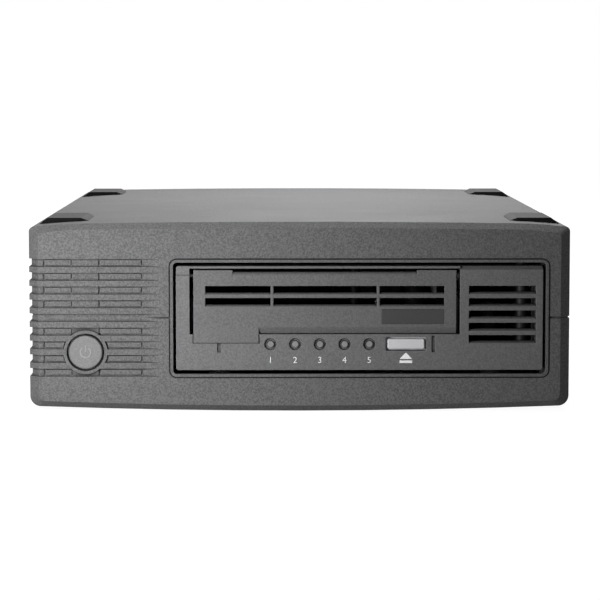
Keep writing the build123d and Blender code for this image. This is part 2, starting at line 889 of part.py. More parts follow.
# Panel screws: four for the fan and two for the inlet
panel_screw_length = 6.0
fan_screw_places = [
    (fan_x + x_side * fan_screw_spread / 2, fan_z + z_side * fan_screw_spread / 2)
    for x_side in (-1, 1)
    for z_side in (-1, 1)
]
inlet_screw_places = [(inlet_x + side * inlet_spread / 2, inlet_z) for side in (-1, 1)]
with BuildPart() as panel_screws:
    for seat_y, places in (
        (panel_y + panel_thickness, fan_screw_places),
        (inlet_flange_y + inlet_flange, inlet_screw_places),
    ):
        with BuildSketch(facing(seat_y)):
            with Locations(*places):
                Circle(small_head)
        extrude(amount=-small_head_height)
        with BuildSketch(facing(seat_y)):
            with Locations(*places):
                Circle(small_screw)
        extrude(amount=panel_screw_length)
        extrude(
            cross_recess(facing(seat_y + small_head_height), places),
            amount=recess_depth,
            mode=Mode.SUBTRACT,
        )
panel_screws.part.label = "panel_screws"
export_step(panel_screws.part, "parts/panel_screws.step")

# Interface board with its two external sockets, held off the rear panel by four posts
interface_board_thickness = 1.6
interface_width = 58.0
interface_height = 34.0
interface_post = 2.6
interface_post_inset = 4.0
socket_back_y = panel_y + panel_thickness + socket_proud - socket_depth
interface_y = socket_back_y - interface_board_thickness
with BuildPart() as data_sockets:
    for side in (-1, 1):
        x = socket_x + side * socket_spread / 2
        with BuildSketch(facing(socket_back_y)):
            with Locations((x, socket_z)):
                Rectangle(socket_width, socket_height)
        extrude(amount=-socket_depth)
        with BuildSketch(facing(socket_back_y + socket_depth - socket_cavity)):
            with Locations((x, socket_z)):
                Rectangle(socket_width - 2 * socket_wall, socket_height - 2 * socket_wall)
        extrude(amount=-socket_cavity, mode=Mode.SUBTRACT)
data_sockets.part.label = "data_sockets"
export_step(data_sockets.part, "parts/data_sockets.step")

with BuildPart() as interface_board:
    with BuildSketch(facing(interface_y)):
        with Locations((socket_x, socket_z)):
            Rectangle(interface_width, interface_height)
            with GridLocations(
                interface_width - 2 * interface_post_inset,
                interface_height - 2 * interface_post_inset,
                2,
                2,
            ):
                Circle(small_screw, mode=Mode.SUBTRACT)
    extrude(amount=-interface_board_thickness)
interface_board.part.label = "interface_board"
export_step(interface_board.part, "parts/interface_board.step")

with BuildPart() as interface_posts:
    with BuildSketch(facing(socket_back_y)):
        with Locations((socket_x, socket_z)):
            with GridLocations(
                interface_width - 2 * interface_post_inset,
                interface_height - 2 * interface_post_inset,
                2,
                2,
            ):
                RegularPolygon(interface_post, 6)
    extrude(amount=socket_back_y - panel_y)
interface_posts.part.label = "interface_posts"
export_step(interface_posts.part, "parts/interface_posts.step")

# Power supply: board, transformer, capacitors and heat sink
transformer_share_x = 0.69  # of the board's width
transformer_length = 30.0
transformer_height = 26.0
transformer_share = -0.02  # of the board's length, from its middle
winding_share_x = 0.43
winding_length = 36.0
winding_height = 18.0
capacitor_radius = 9.0
capacitor_height = 30.0
capacitor_shares = (-0.36, -0.22)
sink_length = 44.0
sink_height = 32.0
sink_thickness = 2.4
sink_fin = 1.4
sink_fin_length = 5.0
sink_fins = 6
sink_share = 0.3
supply_top_z = supply_board_z + supply_board
transformer_width = transformer_share_x * supply_width
winding_width = winding_share_x * supply_width
with BuildPart() as supply_board_part:
    with Locations((supply_x, supply_y, supply_board_z + supply_board / 2)):
        Box(supply_width, supply_length, supply_board)
supply_board_part.part.label = "supply_board"
export_step(supply_board_part.part, "parts/supply_board.step")

transformer_y = supply_y + transformer_share * supply_length
with BuildPart() as supply_transformer:
    with Locations((supply_x, transformer_y, supply_top_z + transformer_height / 2)):
        Box(transformer_width, transformer_length, transformer_height)
        Box(winding_width, winding_length, winding_height)
supply_transformer.part.label = "supply_transformer"
export_step(supply_transformer.part, "parts/supply_transformer.step")

with BuildPart() as supply_capacitors:
    with BuildSketch(Plane.XY.offset(supply_top_z)):
        for share in capacitor_shares:
            with Locations((supply_x, supply_y + share * supply_length)):
                Circle(capacitor_radius)
    extrude(amount=capacitor_height)
supply_capacitors.part.label = "supply_capacitors"
export_step(supply_capacitors.part, "parts/supply_capacitors.step")

sink_y = supply_y + sink_share * supply_length
with BuildPart() as supply_heat_sink:
    with BuildSketch(Plane.XY.offset(supply_top_z)):
        with Locations((supply_x, sink_y)):
            Rectangle(sink_thickness, sink_length)
            with GridLocations(0, (sink_length - sink_fin) / (sink_fins - 1), 1, sink_fins):
                Rectangle(2 * sink_fin_length + sink_thickness, sink_fin)
    extrude(amount=sink_height)
supply_heat_sink.part.label = "supply_heat_sink"
export_step(supply_heat_sink.part, "parts/supply_heat_sink.step")

# Cartridge door: measured from the bezel's face; the hinge pin runs along its top
door_inset = 7.1  # from the bezel's left end
door_share = 0.716  # of the bezel's width
door_bottom = 32.4
door_top = 57.6
door_thickness = 2.2
door_knuckle = 1.6
door_pin = 0.75
door_crease = 35.0  # height where the chin begins
door_chin_slope = 1.1
door_tab_width = 26.6
door_tab_bottom = 28.7
door_tab_slope = 1.0
door_ear_width = 16.0
door_ear_rise = 0.7
door_slot = 2.9
door_slot_margin = 4.8
door_slot_rib = 1.1
door_slot_heights = (50.45, 45.55)
door_rib_shares = (0.299, 0.703)  # of the door's width
door_side_gap = 1.6
door_top_gap = 1.5
door_bottom_gap = 0.35
slot_sill = 0.6
slot_sill_run = 1.1
label_width = 25.5
label_height = 6.2
label_thickness = 0.3
label_sink = 0.2
label_side = 4.8
label_z = 39.3
door_left = bezel_left + door_inset
door_width = door_share * bezel_width
door_right = door_left + door_width
door_x = door_left + door_width / 2
door_pin_y = bezel_y + door_knuckle
door_pin_z = door_top - door_knuckle
door_slot_left = door_left + door_slot_margin
door_slot_width = door_width - 2 * door_slot_margin
label_x = door_right - label_side - label_width / 2


def slot_profile(x, low, high, face_y, depth):
    """The section of a horizontal slot whose lower side slopes out to the face."""
    with BuildSketch(Plane.YZ.offset(x)) as profile:
        with BuildLine():
            Polyline(
                (face_y - overrun, high),
                (face_y + depth, high),
                (face_y + depth, low),
                (face_y + slot_sill_run, low),
                (face_y, low - slot_sill),
                (face_y - overrun, low - slot_sill),
                close=True,
            )
        make_face()
    return profile.sketch


with BuildPart() as cartridge_door:
    with BuildSketch(Plane.YZ.offset(door_left)):
        with BuildLine():
            Polyline(
                (bezel_y, door_pin_z),
                (bezel_y, door_crease),
                (bezel_y + door_chin_slope, door_bottom),
                (bezel_y + door_thickness, door_bottom),
                (bezel_y + door_thickness, door_pin_z),
                close=True,
            )
        make_face()
        with Locations((door_pin_y, door_pin_z)):
            Circle(door_knuckle)
    extrude(amount=door_width)
    with BuildSketch(Plane.YZ.offset(door_left)):
        with BuildLine():
            Polyline(
                (bezel_y, door_crease),
                (bezel_y - door_tab_slope, door_tab_bottom),
                (bezel_y + door_thickness, door_tab_bottom),
                (bezel_y + door_thickness, door_crease),
                close=True,
            )
        make_face()
    extrude(amount=door_tab_width)
    for x in (door_left + door_ear_width / 2, door_right - door_ear_width / 2):
        with Locations((x, bezel_y + door_thickness / 2, door_pin_z + (door_knuckle + door_ear_rise) / 2)):
            Box(door_ear_width, door_thickness, door_knuckle + door_ear_rise)
    for z in door_slot_heights:
        extrude(
            slot_profile(
                door_slot_left, z - door_slot / 2, z + door_slot / 2, bezel_y, door_thickness + overrun
            ),
            amount=door_slot_width,
            mode=Mode.SUBTRACT,
        )
        for share in door_rib_shares:
            with Locations((door_left + share * door_width, bezel_y + door_thickness / 2, z)):
                Box(door_slot_rib, door_thickness, door_slot + 2 * slot_sill)
    with Locations((label_x, bezel_y, label_z)):
        Box(label_width, 2 * label_sink, label_height, mode=Mode.SUBTRACT)
    with BuildSketch(Plane.YZ.offset(door_left - overrun)):
        with Locations((door_pin_y, door_pin_z)):
            Circle(door_pin + running_gap)
    extrude(amount=door_width + 2 * overrun, mode=Mode.SUBTRACT)
cartridge_door.part.label = "cartridge_door"
export_step(cartridge_door.part, "parts/cartridge_door.step")

with BuildPart() as door_label:
    with Locations((label_x, bezel_y + label_sink - label_thickness / 2, label_z)):
        Box(label_width - 2 * seat_gap, label_thickness, label_height - 2 * seat_gap)
door_label.part.label = "door_label"
export_step(door_label.part, "parts/door_label.step")

# Drive bezel: plate and skirt, with openings for the door, the louvres, the lights and the eject button
cheek = 1.8
cheek_drop = 5.0
cheek_depth = 4.6
louvre_door_gap = 5.2
louvre_end_gap = 2.75
louvre_slot = 2.85
louvre_pitch = 5.05
louvre_count = 5
louvre_depth = 3.6  # of the blades, behind the plate
louvre_top = 50.5  # middle of the first slot
bezel_chamfer = 1.5
strip_step = 0.6
strip_step_z = 56.2
light_count = 5
light_pitch = 10.1
light_shift = -16.2  # from the bezel's middle
light_z = 28.0
light_radius = 1.4
light_ring = 2.5
light_ring_depth = 1.3
eject_shift = 19.0
eject_z = 28.1
eject_width = 15.2
eject_height = 4.2
eject_gap = 0.75
eject_corner = 0.8
notch_width = 1.4
notch_depth = 0.8
notch_places = ((-57.4, 24.6, 28.3), (30.2, 24.7, 31.5))
light_x = bezel_x + light_shift
eject_x = bezel_x + eject_shift
louvre_left = door_right + louvre_door_gap
louvre_width = bezel_right - louvre_end_gap - louvre_left
door_opening_left = door_left - door_side_gap
door_opening_right = door_right + door_side_gap
door_opening_top = door_top + door_top_gap
with BuildPart() as drive_bezel:
    with BuildSketch(facing(bezel_y)):
        with Locations((bezel_x, bezel_z)):
            RectangleRounded(bezel_width, bezel_height, bezel_corner)
    extrude(amount=-bezel_depth)
    with BuildSketch(facing(bezel_y + bezel_plate)):
        with Locations((bezel_x, bezel_z)):
            Rectangle(bezel_width - 2 * bezel_skirt, bezel_height - 2 * bezel_skirt)
    extrude(amount=-bezel_depth, mode=Mode.SUBTRACT)
    for x in (door_opening_left - cheek / 2, door_opening_right + cheek / 2):
        with Locations(
            (x, bezel_y + bezel_plate + cheek_depth / 2, door_opening_top - cheek_drop / 2)
        ):
            Box(cheek, cheek_depth, cheek_drop)
    with Locations(
        (
            louvre_left + louvre_width / 2,
            bezel_y + bezel_plate + louvre_depth / 2,
            louvre_top - (louvre_count - 1) * louvre_pitch / 2,
        )
    ):
        Box(louvre_width + 2 * cheek, louvre_depth, louvre_count * louvre_pitch)
    with BuildSketch(facing(bezel_y - overrun)):
        with BuildLine():
            Polyline(
                (door_opening_left, door_opening_top),
                (door_opening_right, door_opening_top),
                (door_opening_right, door_bottom - door_bottom_gap),
                (door_left + door_tab_width + door_bottom_gap, door_bottom - door_bottom_gap),
                (door_left + door_tab_width + door_bottom_gap, door_tab_bottom - door_bottom_gap),
                (door_left - door_bottom_gap, door_tab_bottom - door_bottom_gap),
                (door_left - door_bottom_gap, door_bottom - door_bottom_gap),
                (door_opening_left, door_bottom - door_bottom_gap),
                close=True,
            )
        make_face()
    extrude(amount=-bezel_plate - overrun, mode=Mode.SUBTRACT)
    for step in range(louvre_count):
        z = louvre_top - step * louvre_pitch
        extrude(
            slot_profile(
                louvre_left,
                z - louvre_slot / 2,
                z + louvre_slot / 2,
                bezel_y,
                bezel_plate + louvre_depth + overrun,
            ),
            amount=louvre_width,
            mode=Mode.SUBTRACT,
        )
    with BuildSketch(Plane.YZ.offset(door_opening_right)):
        with BuildLine():
            Polyline(
                (bezel_y, bezel_top - bezel_chamfer),
                (bezel_y + bezel_chamfer, bezel_top),
                (bezel_y, bezel_top),
                close=True,
            )
        make_face()
    extrude(amount=bezel_right - door_opening_right, mode=Mode.SUBTRACT)
    with Locations(
        (
            (bezel_left + door_opening_left) / 2,
            bezel_y,
            (strip_step_z + bezel_top) / 2,
        )
    ):
        Box(
            door_opening_left - bezel_left,
            2 * strip_step,
            bezel_top - strip_step_z,
            mode=Mode.SUBTRACT,
        )
    with Locations(Location((light_x, bezel_y, light_z), (90, 0, 0))):
        with GridLocations(light_pitch, 0, light_count, 1):
            CounterBoreHole(
                radius=light_radius + seat_gap,
                counter_bore_radius=light_ring,
                counter_bore_depth=light_ring_depth,
                depth=bezel_depth,
            )
    with BuildSketch(facing(bezel_y)):
        with Locations((eject_x, eject_z)):
            RectangleRounded(eject_width + 2 * eject_gap, eject_height + 2 * eject_gap, eject_corner)
    extrude(amount=-bezel_plate, mode=Mode.SUBTRACT)
    for shift, low, high in notch_places:
        with Locations((bezel_x + shift, bezel_y, (low + high) / 2)):
            Box(notch_width, 2 * notch_depth, high - low, mode=Mode.SUBTRACT)
    with BuildSketch(Plane.YZ.offset(door_opening_left - cheek)):
        with Locations((door_pin_y, door_pin_z)):
            Circle(door_pin + running_gap)
    extrude(
        amount=door_opening_right - door_opening_left + 2 * cheek,
        mode=Mode.SUBTRACT,
    )
drive_bezel.part.label = "drive_bezel"
export_step(drive_bezel.part, "parts/drive_bezel.step")

# Door pin, in the bezel's cheeks
with BuildPart() as door_hinge_pin:
    with BuildSketch(Plane.YZ.offset(door_opening_left - cheek)):
        with Locations((door_pin_y, door_pin_z)):
            Circle(door_pin)
    extrude(amount=door_opening_right - door_opening_left + 2 * cheek)
door_hinge_pin.part.label = "door_hinge_pin"
export_step(door_hinge_pin.part, "parts/door_hinge_pin.step")

# Door spring: a torsion coil between the door's end and the right cheek, with a leg against the cheek
door_spring_wire = 0.45
door_spring_leg = 5.0
door_spring_bore = door_pin + 2 * running_gap
door_spring_x = door_right + slide_gap
door_spring_width = door_side_gap - slide_gap - seat_gap
with BuildPart() as door_spring:
    with BuildSketch(Plane.YZ.offset(door_spring_x)):
        with Locations((door_pin_y, door_pin_z)):
            Circle(door_spring_bore + door_spring_wire)
            Circle(door_spring_bore, mode=Mode.SUBTRACT)
    extrude(amount=door_spring_width)
    with BuildSketch(Plane.YZ.offset(door_spring_x + door_spring_width - door_spring_wire)):
        with Locations(
            (
                door_pin_y + door_spring_bore + door_spring_wire / 2,
                door_pin_z - door_spring_leg / 2,
            )
        ):
            Rectangle(door_spring_wire, door_spring_leg)
    extrude(amount=door_spring_wire)
door_spring.part.label = "door_spring"
export_step(door_spring.part, "parts/door_spring.step")

# Front board with its lights and the eject switch
front_board = 1.2
front_board_y = bezel_y + bezel_depth - front_board - seat_gap
front_board_margin = 3.0
front_board_left = light_x - (light_count - 1) * light_pitch / 2 - front_board_margin
front_board_right = eject_x + eject_width / 2 + 2 * front_board_margin
front_board_low = bezel_bottom + bezel_skirt + seat_gap
front_board_drop = 1.0  # its top edge under the door's lower edge
front_board_high = door_bottom - front_board_drop
led_side = 2.0
led_depth = 1.1
eject_switch_side = 4.5
eject_switch_depth = 1.6
eject_travel = 1.0
eject_proud = 0.4
eject_flange_step = 0.5
with BuildPart() as front_board_part:
    with Locations(
        (
            (front_board_left + front_board_right) / 2,
            front_board_y + front_board / 2,
            (front_board_low + front_board_high) / 2,
        )
    ):
        Box(
            front_board_right - front_board_left,
            front_board,
            front_board_high - front_board_low,
        )
front_board_part.part.label = "front_board"
export_step(front_board_part.part, "parts/front_board.step")

with BuildPart() as status_leds:
    with Locations((light_x, front_board_y - led_depth / 2, light_z)):
        with GridLocations(light_pitch, 0, light_count, 1):
            Box(led_side, led_depth, led_side)
status_leds.part.label = "status_leds"
export_step(status_leds.part, "parts/status_leds.step")

with BuildPart() as eject_switch:
    with Locations((eject_x, front_board_y - eject_switch_depth / 2, eject_z)):
        Box(eject_switch_side, eject_switch_depth, eject_switch_side)
eject_switch.part.label = "eject_switch"
export_step(eject_switch.part, "parts/eject_switch.step")

# Light pipes: five lenses on one comb behind the bezel
comb_height = 3.4
comb_depth = 1.2
comb_y = bezel_y + bezel_plate + seat_gap
with BuildPart() as light_pipes:
    with BuildSketch(facing(comb_y)):
        with Locations((light_x, light_z)):
            SlotCenterToCenter((light_count - 1) * light_pitch, comb_height)
    extrude(amount=-comb_depth)
    with BuildSketch(facing(bezel_y)):
        with Locations((light_x, light_z)):
            with GridLocations(light_pitch, 0, light_count, 1):
                Circle(light_radius)
    extrude(amount=bezel_y - front_board_y + led_depth + seat_gap)
light_pipes.part.label = "light_pipes"
export_step(light_pipes.part, "parts/light_pipes.step")

# Eject button: a cap in the bezel's window, with a flange behind it that reaches to the switch
eject_flange_y = bezel_y + bezel_plate + slide_gap
eject_edge = 0.5
eject_nub_end_y = front_board_y - eject_switch_depth - eject_travel - seat_gap
with BuildPart() as eject_button:
    with BuildSketch(facing(bezel_y - eject_proud)):
        with Locations((eject_x, eject_z)):
            RectangleRounded(eject_width, eject_height, eject_corner)
    extrude(amount=bezel_y - eject_proud - eject_flange_y)
    fillet(eject_button.edges().group_by(Axis.Y)[0], eject_edge)
    with BuildSketch(facing(eject_flange_y)):
        with Locations((eject_x, eject_z)):
            Rectangle(
                eject_width + 2 * (eject_gap + eject_flange_step),
                eject_height + eject_gap + eject_flange_step,
            )
    extrude(amount=eject_flange_y - eject_nub_end_y)
eject_button.part.label = "eject_button"
export_step(eject_button.part, "parts/eject_button.step")

# Drive base: side walls and rear wall around a deck, with bosses, posts and bearing holes
base_wall = 2.0
deck_height = 5.8  # its underside over the drive's bottom
deck_thickness = 2.0
cover_sheet = 0.8
rear_wall_gap = 12.0
motor_radius = 19.5
chuck_y_share = 0.357  # of the drive's length behind the bezel's face
reel_y_share = 0.825
deck_bottom = drive_bottom + deck_height
deck_top = deck_bottom + deck_thickness
base_top = drive_top - cover_sheet
chuck_x = door_x
chuck_y = bezel_y + chuck_y_share * drive_length
reel_inset = 45.6  # from the drive's left side
reel_x = drive_left + reel_inset
reel_y = bezel_y + reel_y_share * drive_length
cover_boss = 3.0
cover_boss_inset = 5.5
cover_boss_gap = 1.0  # behind the tray
board_screw_spread_x = 128.0
board_screw_spread_y = 170.0
main_board = 1.6
main_board_top = drive_bottom + 3.2
standoff = 3.0
board_rear_inset = 3.0
board_front_inset = 2.0
connector_width = 34.0
connector_length = 9.0
connector_height = 5.0

screw_drive_length = 8.0
screw_drive_thread = base_top - screw_drive_length + seat_gap
side_screw_rise = 10.0
side_screw_length = 4.0
side_screw_z = drive_bottom + side_screw_rise
side_screw_places = (cradle_y - cradle_post_spread_y / 3, cradle_y + cradle_post_spread_y / 3)

# Cartridge tray: bent sheet that holds a cartridge, with four guide pins
tray_clear = 0.9  # the door's width over the tray's inside
tray_height = 22.2  # inside
tray_floor = 32.2
tray_sheet = 0.9
tray_front = 32.0  # behind the bezel's face
tray_length = 90.0
tray_lip = 9.0
tray_hole = 22.0
tray_pin = 1.2
tray_pin_rise = 7.5
tray_pin_inset = 18.0
tray_drop = 4.0
tray_width = door_width - tray_clear
tray_y = bezel_y + tray_front + tray_length / 2
tray_front_y = tray_y - tray_length / 2
tray_rear_y = tray_y + tray_length / 2
tray_left = door_x - tray_width / 2 - tray_sheet
tray_right = door_x + tray_width / 2 + tray_sheet
tray_pin_z = tray_floor + tray_pin_rise
tray_pin_places = (tray_front_y + tray_pin_inset, tray_rear_y - tray_pin_inset)
cover_boss_places = [
    (drive_left + cover_boss_inset, tray_rear_y + cover_boss + cover_boss_gap),
    (drive_right - cover_boss_inset, drive_front_y + cover_boss_inset),
    (drive_left + cover_boss_inset, drive_rear_y - cover_boss_inset),
    (drive_right - cover_boss_inset, drive_rear_y - cover_boss_inset),
]

# Loader slider: a cam plate on each side of the tray, a cross bar at the front and a rack
slider_travel = 12.0
slider_plate = 1.0
slider_low = 33.4
slider_high = 46.0
slider_front_reach = 16.0  # its bar stays in front of the lowered tray
slider_rear_reach = 2.0
slider_bar_low = 26.6
slider_bar_height = 2.6
slider_bar_width = 3.0
slider_left = tray_left - slide_gap - slider_plate
slider_right = tray_right + slide_gap
slider_front = tray_front_y - slider_front_reach
slider_rear = tray_rear_y - slider_rear_reach - slider_travel
guide_thickness = 2.0
guide_width = 14.0
guide_left = slider_right + slider_plate + slide_gap

# Loader gears
gear_module = 0.8
pinion_teeth = 12
gear_teeth = 28
motor_teeth = 10
gear_addendum = 0.72
gear_dedendum = 1.0
gear_backlash = 0.12
pinion_height = 3.0
gear_height = 2.6
gear_post = 2.0
pinion_low = 37.0
rack_reach = 8.0
rack_teeth = 9
gear_rim_gap = 1.2
gear_x = slider_right + slider_plate + rack_reach + pinion_teeth * gear_module / 2
gear_y = tray_y
gear_low = pinion_low + pinion_height + gear_rim_gap

# Tape path: reel, rollers, head and threading arm, measured from the drive's right side and the bezel's face
reel_flange = 40.0
reel_hub = 20.0
reel_sheet = 1.2
reel_windows = 6
reel_window = 5.5
reel_low = 30.0
tape_room = 13.3
spindle = 3.0
roller_radius = 5.0
roller_post = 1.5
roller_offsets = ((43.45, 133.0), (18.45, 137.0), (18.45, 173.0), (43.45, 178.0))
roller_places = [(drive_right - inset, bezel_y + behind) for inset, behind in roller_offsets]
roller_low = reel_low
roller_height = 2 * reel_sheet + tape_room
roller_collar = 3.0
roller_groove = 0.8
post_cap = 1.0
arm_post = 3.0
arm_inset = 71.45
arm_behind = 126.0
arm_x = drive_right - arm_inset
arm_y = bezel_y + arm_behind
arm_low = 50.0
arm_thickness = 2.0
arm_reach = 30.0
arm_width = 6.0
arm_hub_wall = 2.0
leader_pin = 1.2
leader_pin_drop = 3.0
head_inset = 18.85
head_x = drive_right - head_inset
head_behind = 155.0
head_y = bezel_y + head_behind
head_width = 9.0
head_length = 12.0
head_height = 11.0
head_lift = 2.0
head_crown = 1.0
carriage_width = 12.0
carriage_length = 24.0
carriage_height = 8.0
rod_radius = 1.5
rod_spread = 17.0
coil_width = 10.0
coil_length = 16.0
coil_height = 7.0
coil_wall = 2.2
magnet_gap = 0.7
magnet_core_height = 15.0
frame_plate = 2.4
frame_border = 3.0
head_z = roller_low + roller_height / 2
carriage_x = head_x - head_width / 2 - carriage_width / 2
coil_x = carriage_x - carriage_width / 2 - coil_width / 2
roller_shaft_top = roller_low + roller_height + post_cap
guide_slot = tray_pin + slide_gap


def tooth_angle(radius, pitch_radius, half_angle):
    """Half the angle of an involute tooth at a radius, from its half angle at the pitch circle."""
    base = pitch_radius * math.cos(math.radians(20))

    def involute(r):
        roll = math.sqrt(max((r / base) ** 2 - 1, 0))
        return roll - math.atan(roll)

    return half_angle + involute(pitch_radius) - involute(radius)


def gear_sketch(z, x, y, teeth, phase):
    """A spur gear's outline with straight-sided teeth on the involute's chords; phase is in degrees."""
    pitch_radius = teeth * gear_module / 2
    tip = pitch_radius + gear_addendum
    root = pitch_radius - gear_dedendum
    half_angle = math.pi / teeth / 2 - gear_backlash / pitch_radius / 2
    points = []
    for tooth in range(teeth):
        middle = math.radians(phase) + 2 * math.pi * tooth / teeth
        rising = [(root, -1), (pitch_radius, -1), (tip, -1)]
        falling = [(tip, 1), (pitch_radius, 1), (root, 1)]
        for radius, side in rising + falling:
            spread = tooth_angle(max(radius, root), pitch_radius, half_angle)
            angle = middle + side * spread
            points.append((x + radius * math.cos(angle), y + radius * math.sin(angle)))
    with BuildSketch(Plane.XY.offset(z)) as outline:
        with BuildLine():
            Polyline(*points, close=True)
        make_face()
    return outline.sketch


# Drive base
base_posts = (
    (arm_x, arm_y, arm_post, arm_low + arm_thickness),
    (gear_x, gear_y, gear_post, gear_low + gear_height),
)
with BuildPart() as drive_base:
    with Locations((drive_x, (drive_front_y + drive_rear_y) / 2, deck_bottom + deck_thickness / 2)):
        Box(drive_width, drive_length, deck_thickness)
    for x in (drive_left + base_wall / 2, drive_right - base_wall / 2):
        with Locations((x, (drive_front_y + drive_rear_y) / 2, (drive_bottom + base_top) / 2)):
            Box(base_wall, drive_length, base_top - drive_bottom)
    rear_wall_low = drive_bottom + rear_wall_gap
    with Locations((drive_x, drive_rear_y - base_wall / 2, (rear_wall_low + base_top) / 2)):
        Box(drive_width, base_wall, base_top - rear_wall_low)
    with BuildSketch(Plane.XY.offset(deck_bottom)):
        with Locations(*cover_boss_places):
            Circle(cover_boss)
    extrude(amount=base_top - deck_bottom)
    with BuildSketch(Plane.XY.offset(main_board_top)):
        with Locations((drive_x, (drive_front_y + drive_rear_y) / 2)):
            with GridLocations(board_screw_spread_x, board_screw_spread_y, 2, 2):
                Circle(standoff)
    extrude(amount=deck_bottom - main_board_top)
    for x, y, radius, high in base_posts:
        with BuildSketch(Plane.XY.offset(deck_bottom)):
            with Locations((x, y)):
                Circle(radius)
        extrude(amount=high - deck_bottom)
    for y in tray_pin_places:
        with Locations((guide_left + guide_thickness / 2, y, (deck_top + slider_high) / 2)):
            Box(guide_thickness, guide_width, slider_high - deck_top + 2 * seat_gap)
    guide_low = tray_pin_z - tray_drop - guide_slot
    guide_high = tray_pin_z + guide_slot
    for x in (guide_left + guide_thickness / 2, drive_left + base_wall / 2):
        for y in tray_pin_places:
            with Locations((x, y, (guide_low + guide_high) / 2)):
                Box(base_wall + 2 * seat_gap, 2 * guide_slot, guide_high - guide_low, mode=Mode.SUBTRACT)
    with BuildSketch(Plane.XY.offset(deck_bottom)):
        with Locations((chuck_x, chuck_y), (reel_x, reel_y)):
            Circle(motor_radius + seat_gap)
    extrude(amount=deck_thickness, mode=Mode.SUBTRACT)
    with Locations((drive_x, drive_rear_y, deck_bottom + deck_thickness / 2)):
        Box(
            connector_width + 2 * slide_gap,
            2 * (connector_length + board_rear_inset),
            deck_thickness + 2 * seat_gap,
            mode=Mode.SUBTRACT,
        )
    with BuildSketch(Plane.XY.offset(base_top - screw_drive_length)):
        with Locations(*cover_boss_places):
            Circle(small_screw)
    extrude(amount=screw_drive_length, mode=Mode.SUBTRACT)
    with BuildSketch(Plane.XY.offset(main_board_top)):
        with Locations((drive_x, (drive_front_y + drive_rear_y) / 2)):
            with GridLocations(board_screw_spread_x, board_screw_spread_y, 2, 2):
                Circle(screw_pilot)
    extrude(amount=deck_bottom - main_board_top, mode=Mode.SUBTRACT)
    with BuildSketch(Plane.YZ.offset(drive_left - overrun)):
        with Locations(*[(y, side_screw_z) for y in side_screw_places]):
            Circle(small_screw)
    extrude(amount=drive_width + 2 * overrun, mode=Mode.SUBTRACT)
drive_base.part.label = "drive_base"
export_step(drive_base.part, "parts/drive_base.step")

# Drive cover: a pressed sheet with two raised ribs, and its four screws
cover_emboss = 0.5
cover_rib_width = 8.0
cover_rib_length = 150.0
cover_rib_spread = 60.0
with BuildPart() as drive_cover:
    with Locations((drive_x, (drive_front_y + drive_rear_y) / 2, base_top + cover_sheet / 2)):
        Box(drive_width, drive_length, cover_sheet)
    with BuildSketch(Plane.XY.offset(drive_top)):
        with Locations((drive_x, (drive_front_y + drive_rear_y) / 2)):
            with GridLocations(cover_rib_spread, 0, 2, 1):
                SlotOverall(cover_rib_length, cover_rib_width, rotation=90)
    extrude(amount=cover_emboss)
    with BuildSketch(Plane.XY.offset(base_top)):
        with Locations(*cover_boss_places):
            Circle(small_screw + seat_gap)
    extrude(amount=cover_sheet, mode=Mode.SUBTRACT)
drive_cover.part.label = "drive_cover"
export_step(drive_cover.part, "parts/drive_cover.step")

# Drive cradle and its screws
with BuildPart() as drive_cradle:
    with Locations((drive_x, cradle_y, cradle_bottom + cradle_sheet / 2)):
        Box(drive_width + 2 * (cradle_sheet + seat_gap), cradle_length, cradle_sheet)
        with GridLocations(0, cradle_slot_length * 2, 1, 2):
            Box(cradle_slot_width, cradle_slot_length, cradle_sheet, mode=Mode.SUBTRACT)
    for side in (-1, 1):
        x = drive_x + side * (drive_width / 2 + seat_gap + cradle_sheet / 2)
        with Locations((x, cradle_y, cradle_bottom + cradle_flange_height / 2)):
            Box(cradle_sheet, cradle_length, cradle_flange_height)
    with BuildSketch(Plane.XY.offset(cradle_bottom)):
        with Locations((drive_x, cradle_y)):
            with GridLocations(cradle_post_spread_x, cradle_post_spread_y, 2, 2):
                Circle(screw_pilot + seat_gap)
    extrude(amount=cradle_sheet, mode=Mode.SUBTRACT)
    with BuildSketch(Plane.XY.offset(drive_bottom)):
        with Locations((drive_x, cradle_y)):
            with GridLocations(cradle_post_spread_x, cradle_post_spread_y, 2, 2):
                Circle(small_head + seat_gap)
    extrude(amount=-plate_screw_head, mode=Mode.SUBTRACT)
    with BuildSketch(Plane.YZ.offset(drive_left - overrun)):
        with Locations(*[(y, side_screw_z) for y in side_screw_places]):
            Circle(small_screw + seat_gap)
    extrude(amount=drive_width + 2 * overrun, mode=Mode.SUBTRACT)
drive_cradle.part.label = "drive_cradle"
export_step(drive_cradle.part, "parts/drive_cradle.step")

# Drive screws: four through the cover and four through the cradle's flanges
with BuildPart() as drive_screws:
    with BuildSketch(Plane.XY.offset(drive_top)):
        with Locations(*cover_boss_places):
            Circle(small_head)
    extrude(amount=small_head_height)
    with BuildSketch(Plane.XY.offset(drive_top)):
        with Locations(*cover_boss_places):
            Circle(small_screw - running_gap)
    extrude(amount=screw_drive_thread - drive_top)
    for side in (-1, 1):
        flange_x = drive_x + side * (drive_width / 2 + seat_gap + cradle_sheet)
        with BuildSketch(Plane.YZ.offset(flange_x)):
            with Locations(*[(y, side_screw_z) for y in side_screw_places]):
                Circle(small_head)
        extrude(amount=side * small_head_height)
        with BuildSketch(Plane.YZ.offset(flange_x)):
            with Locations(*[(y, side_screw_z) for y in side_screw_places]):
                Circle(small_screw - running_gap)
        extrude(amount=-side * side_screw_length)
drive_screws.part.label = "drive_screws"
export_step(drive_screws.part, "parts/drive_screws.step")

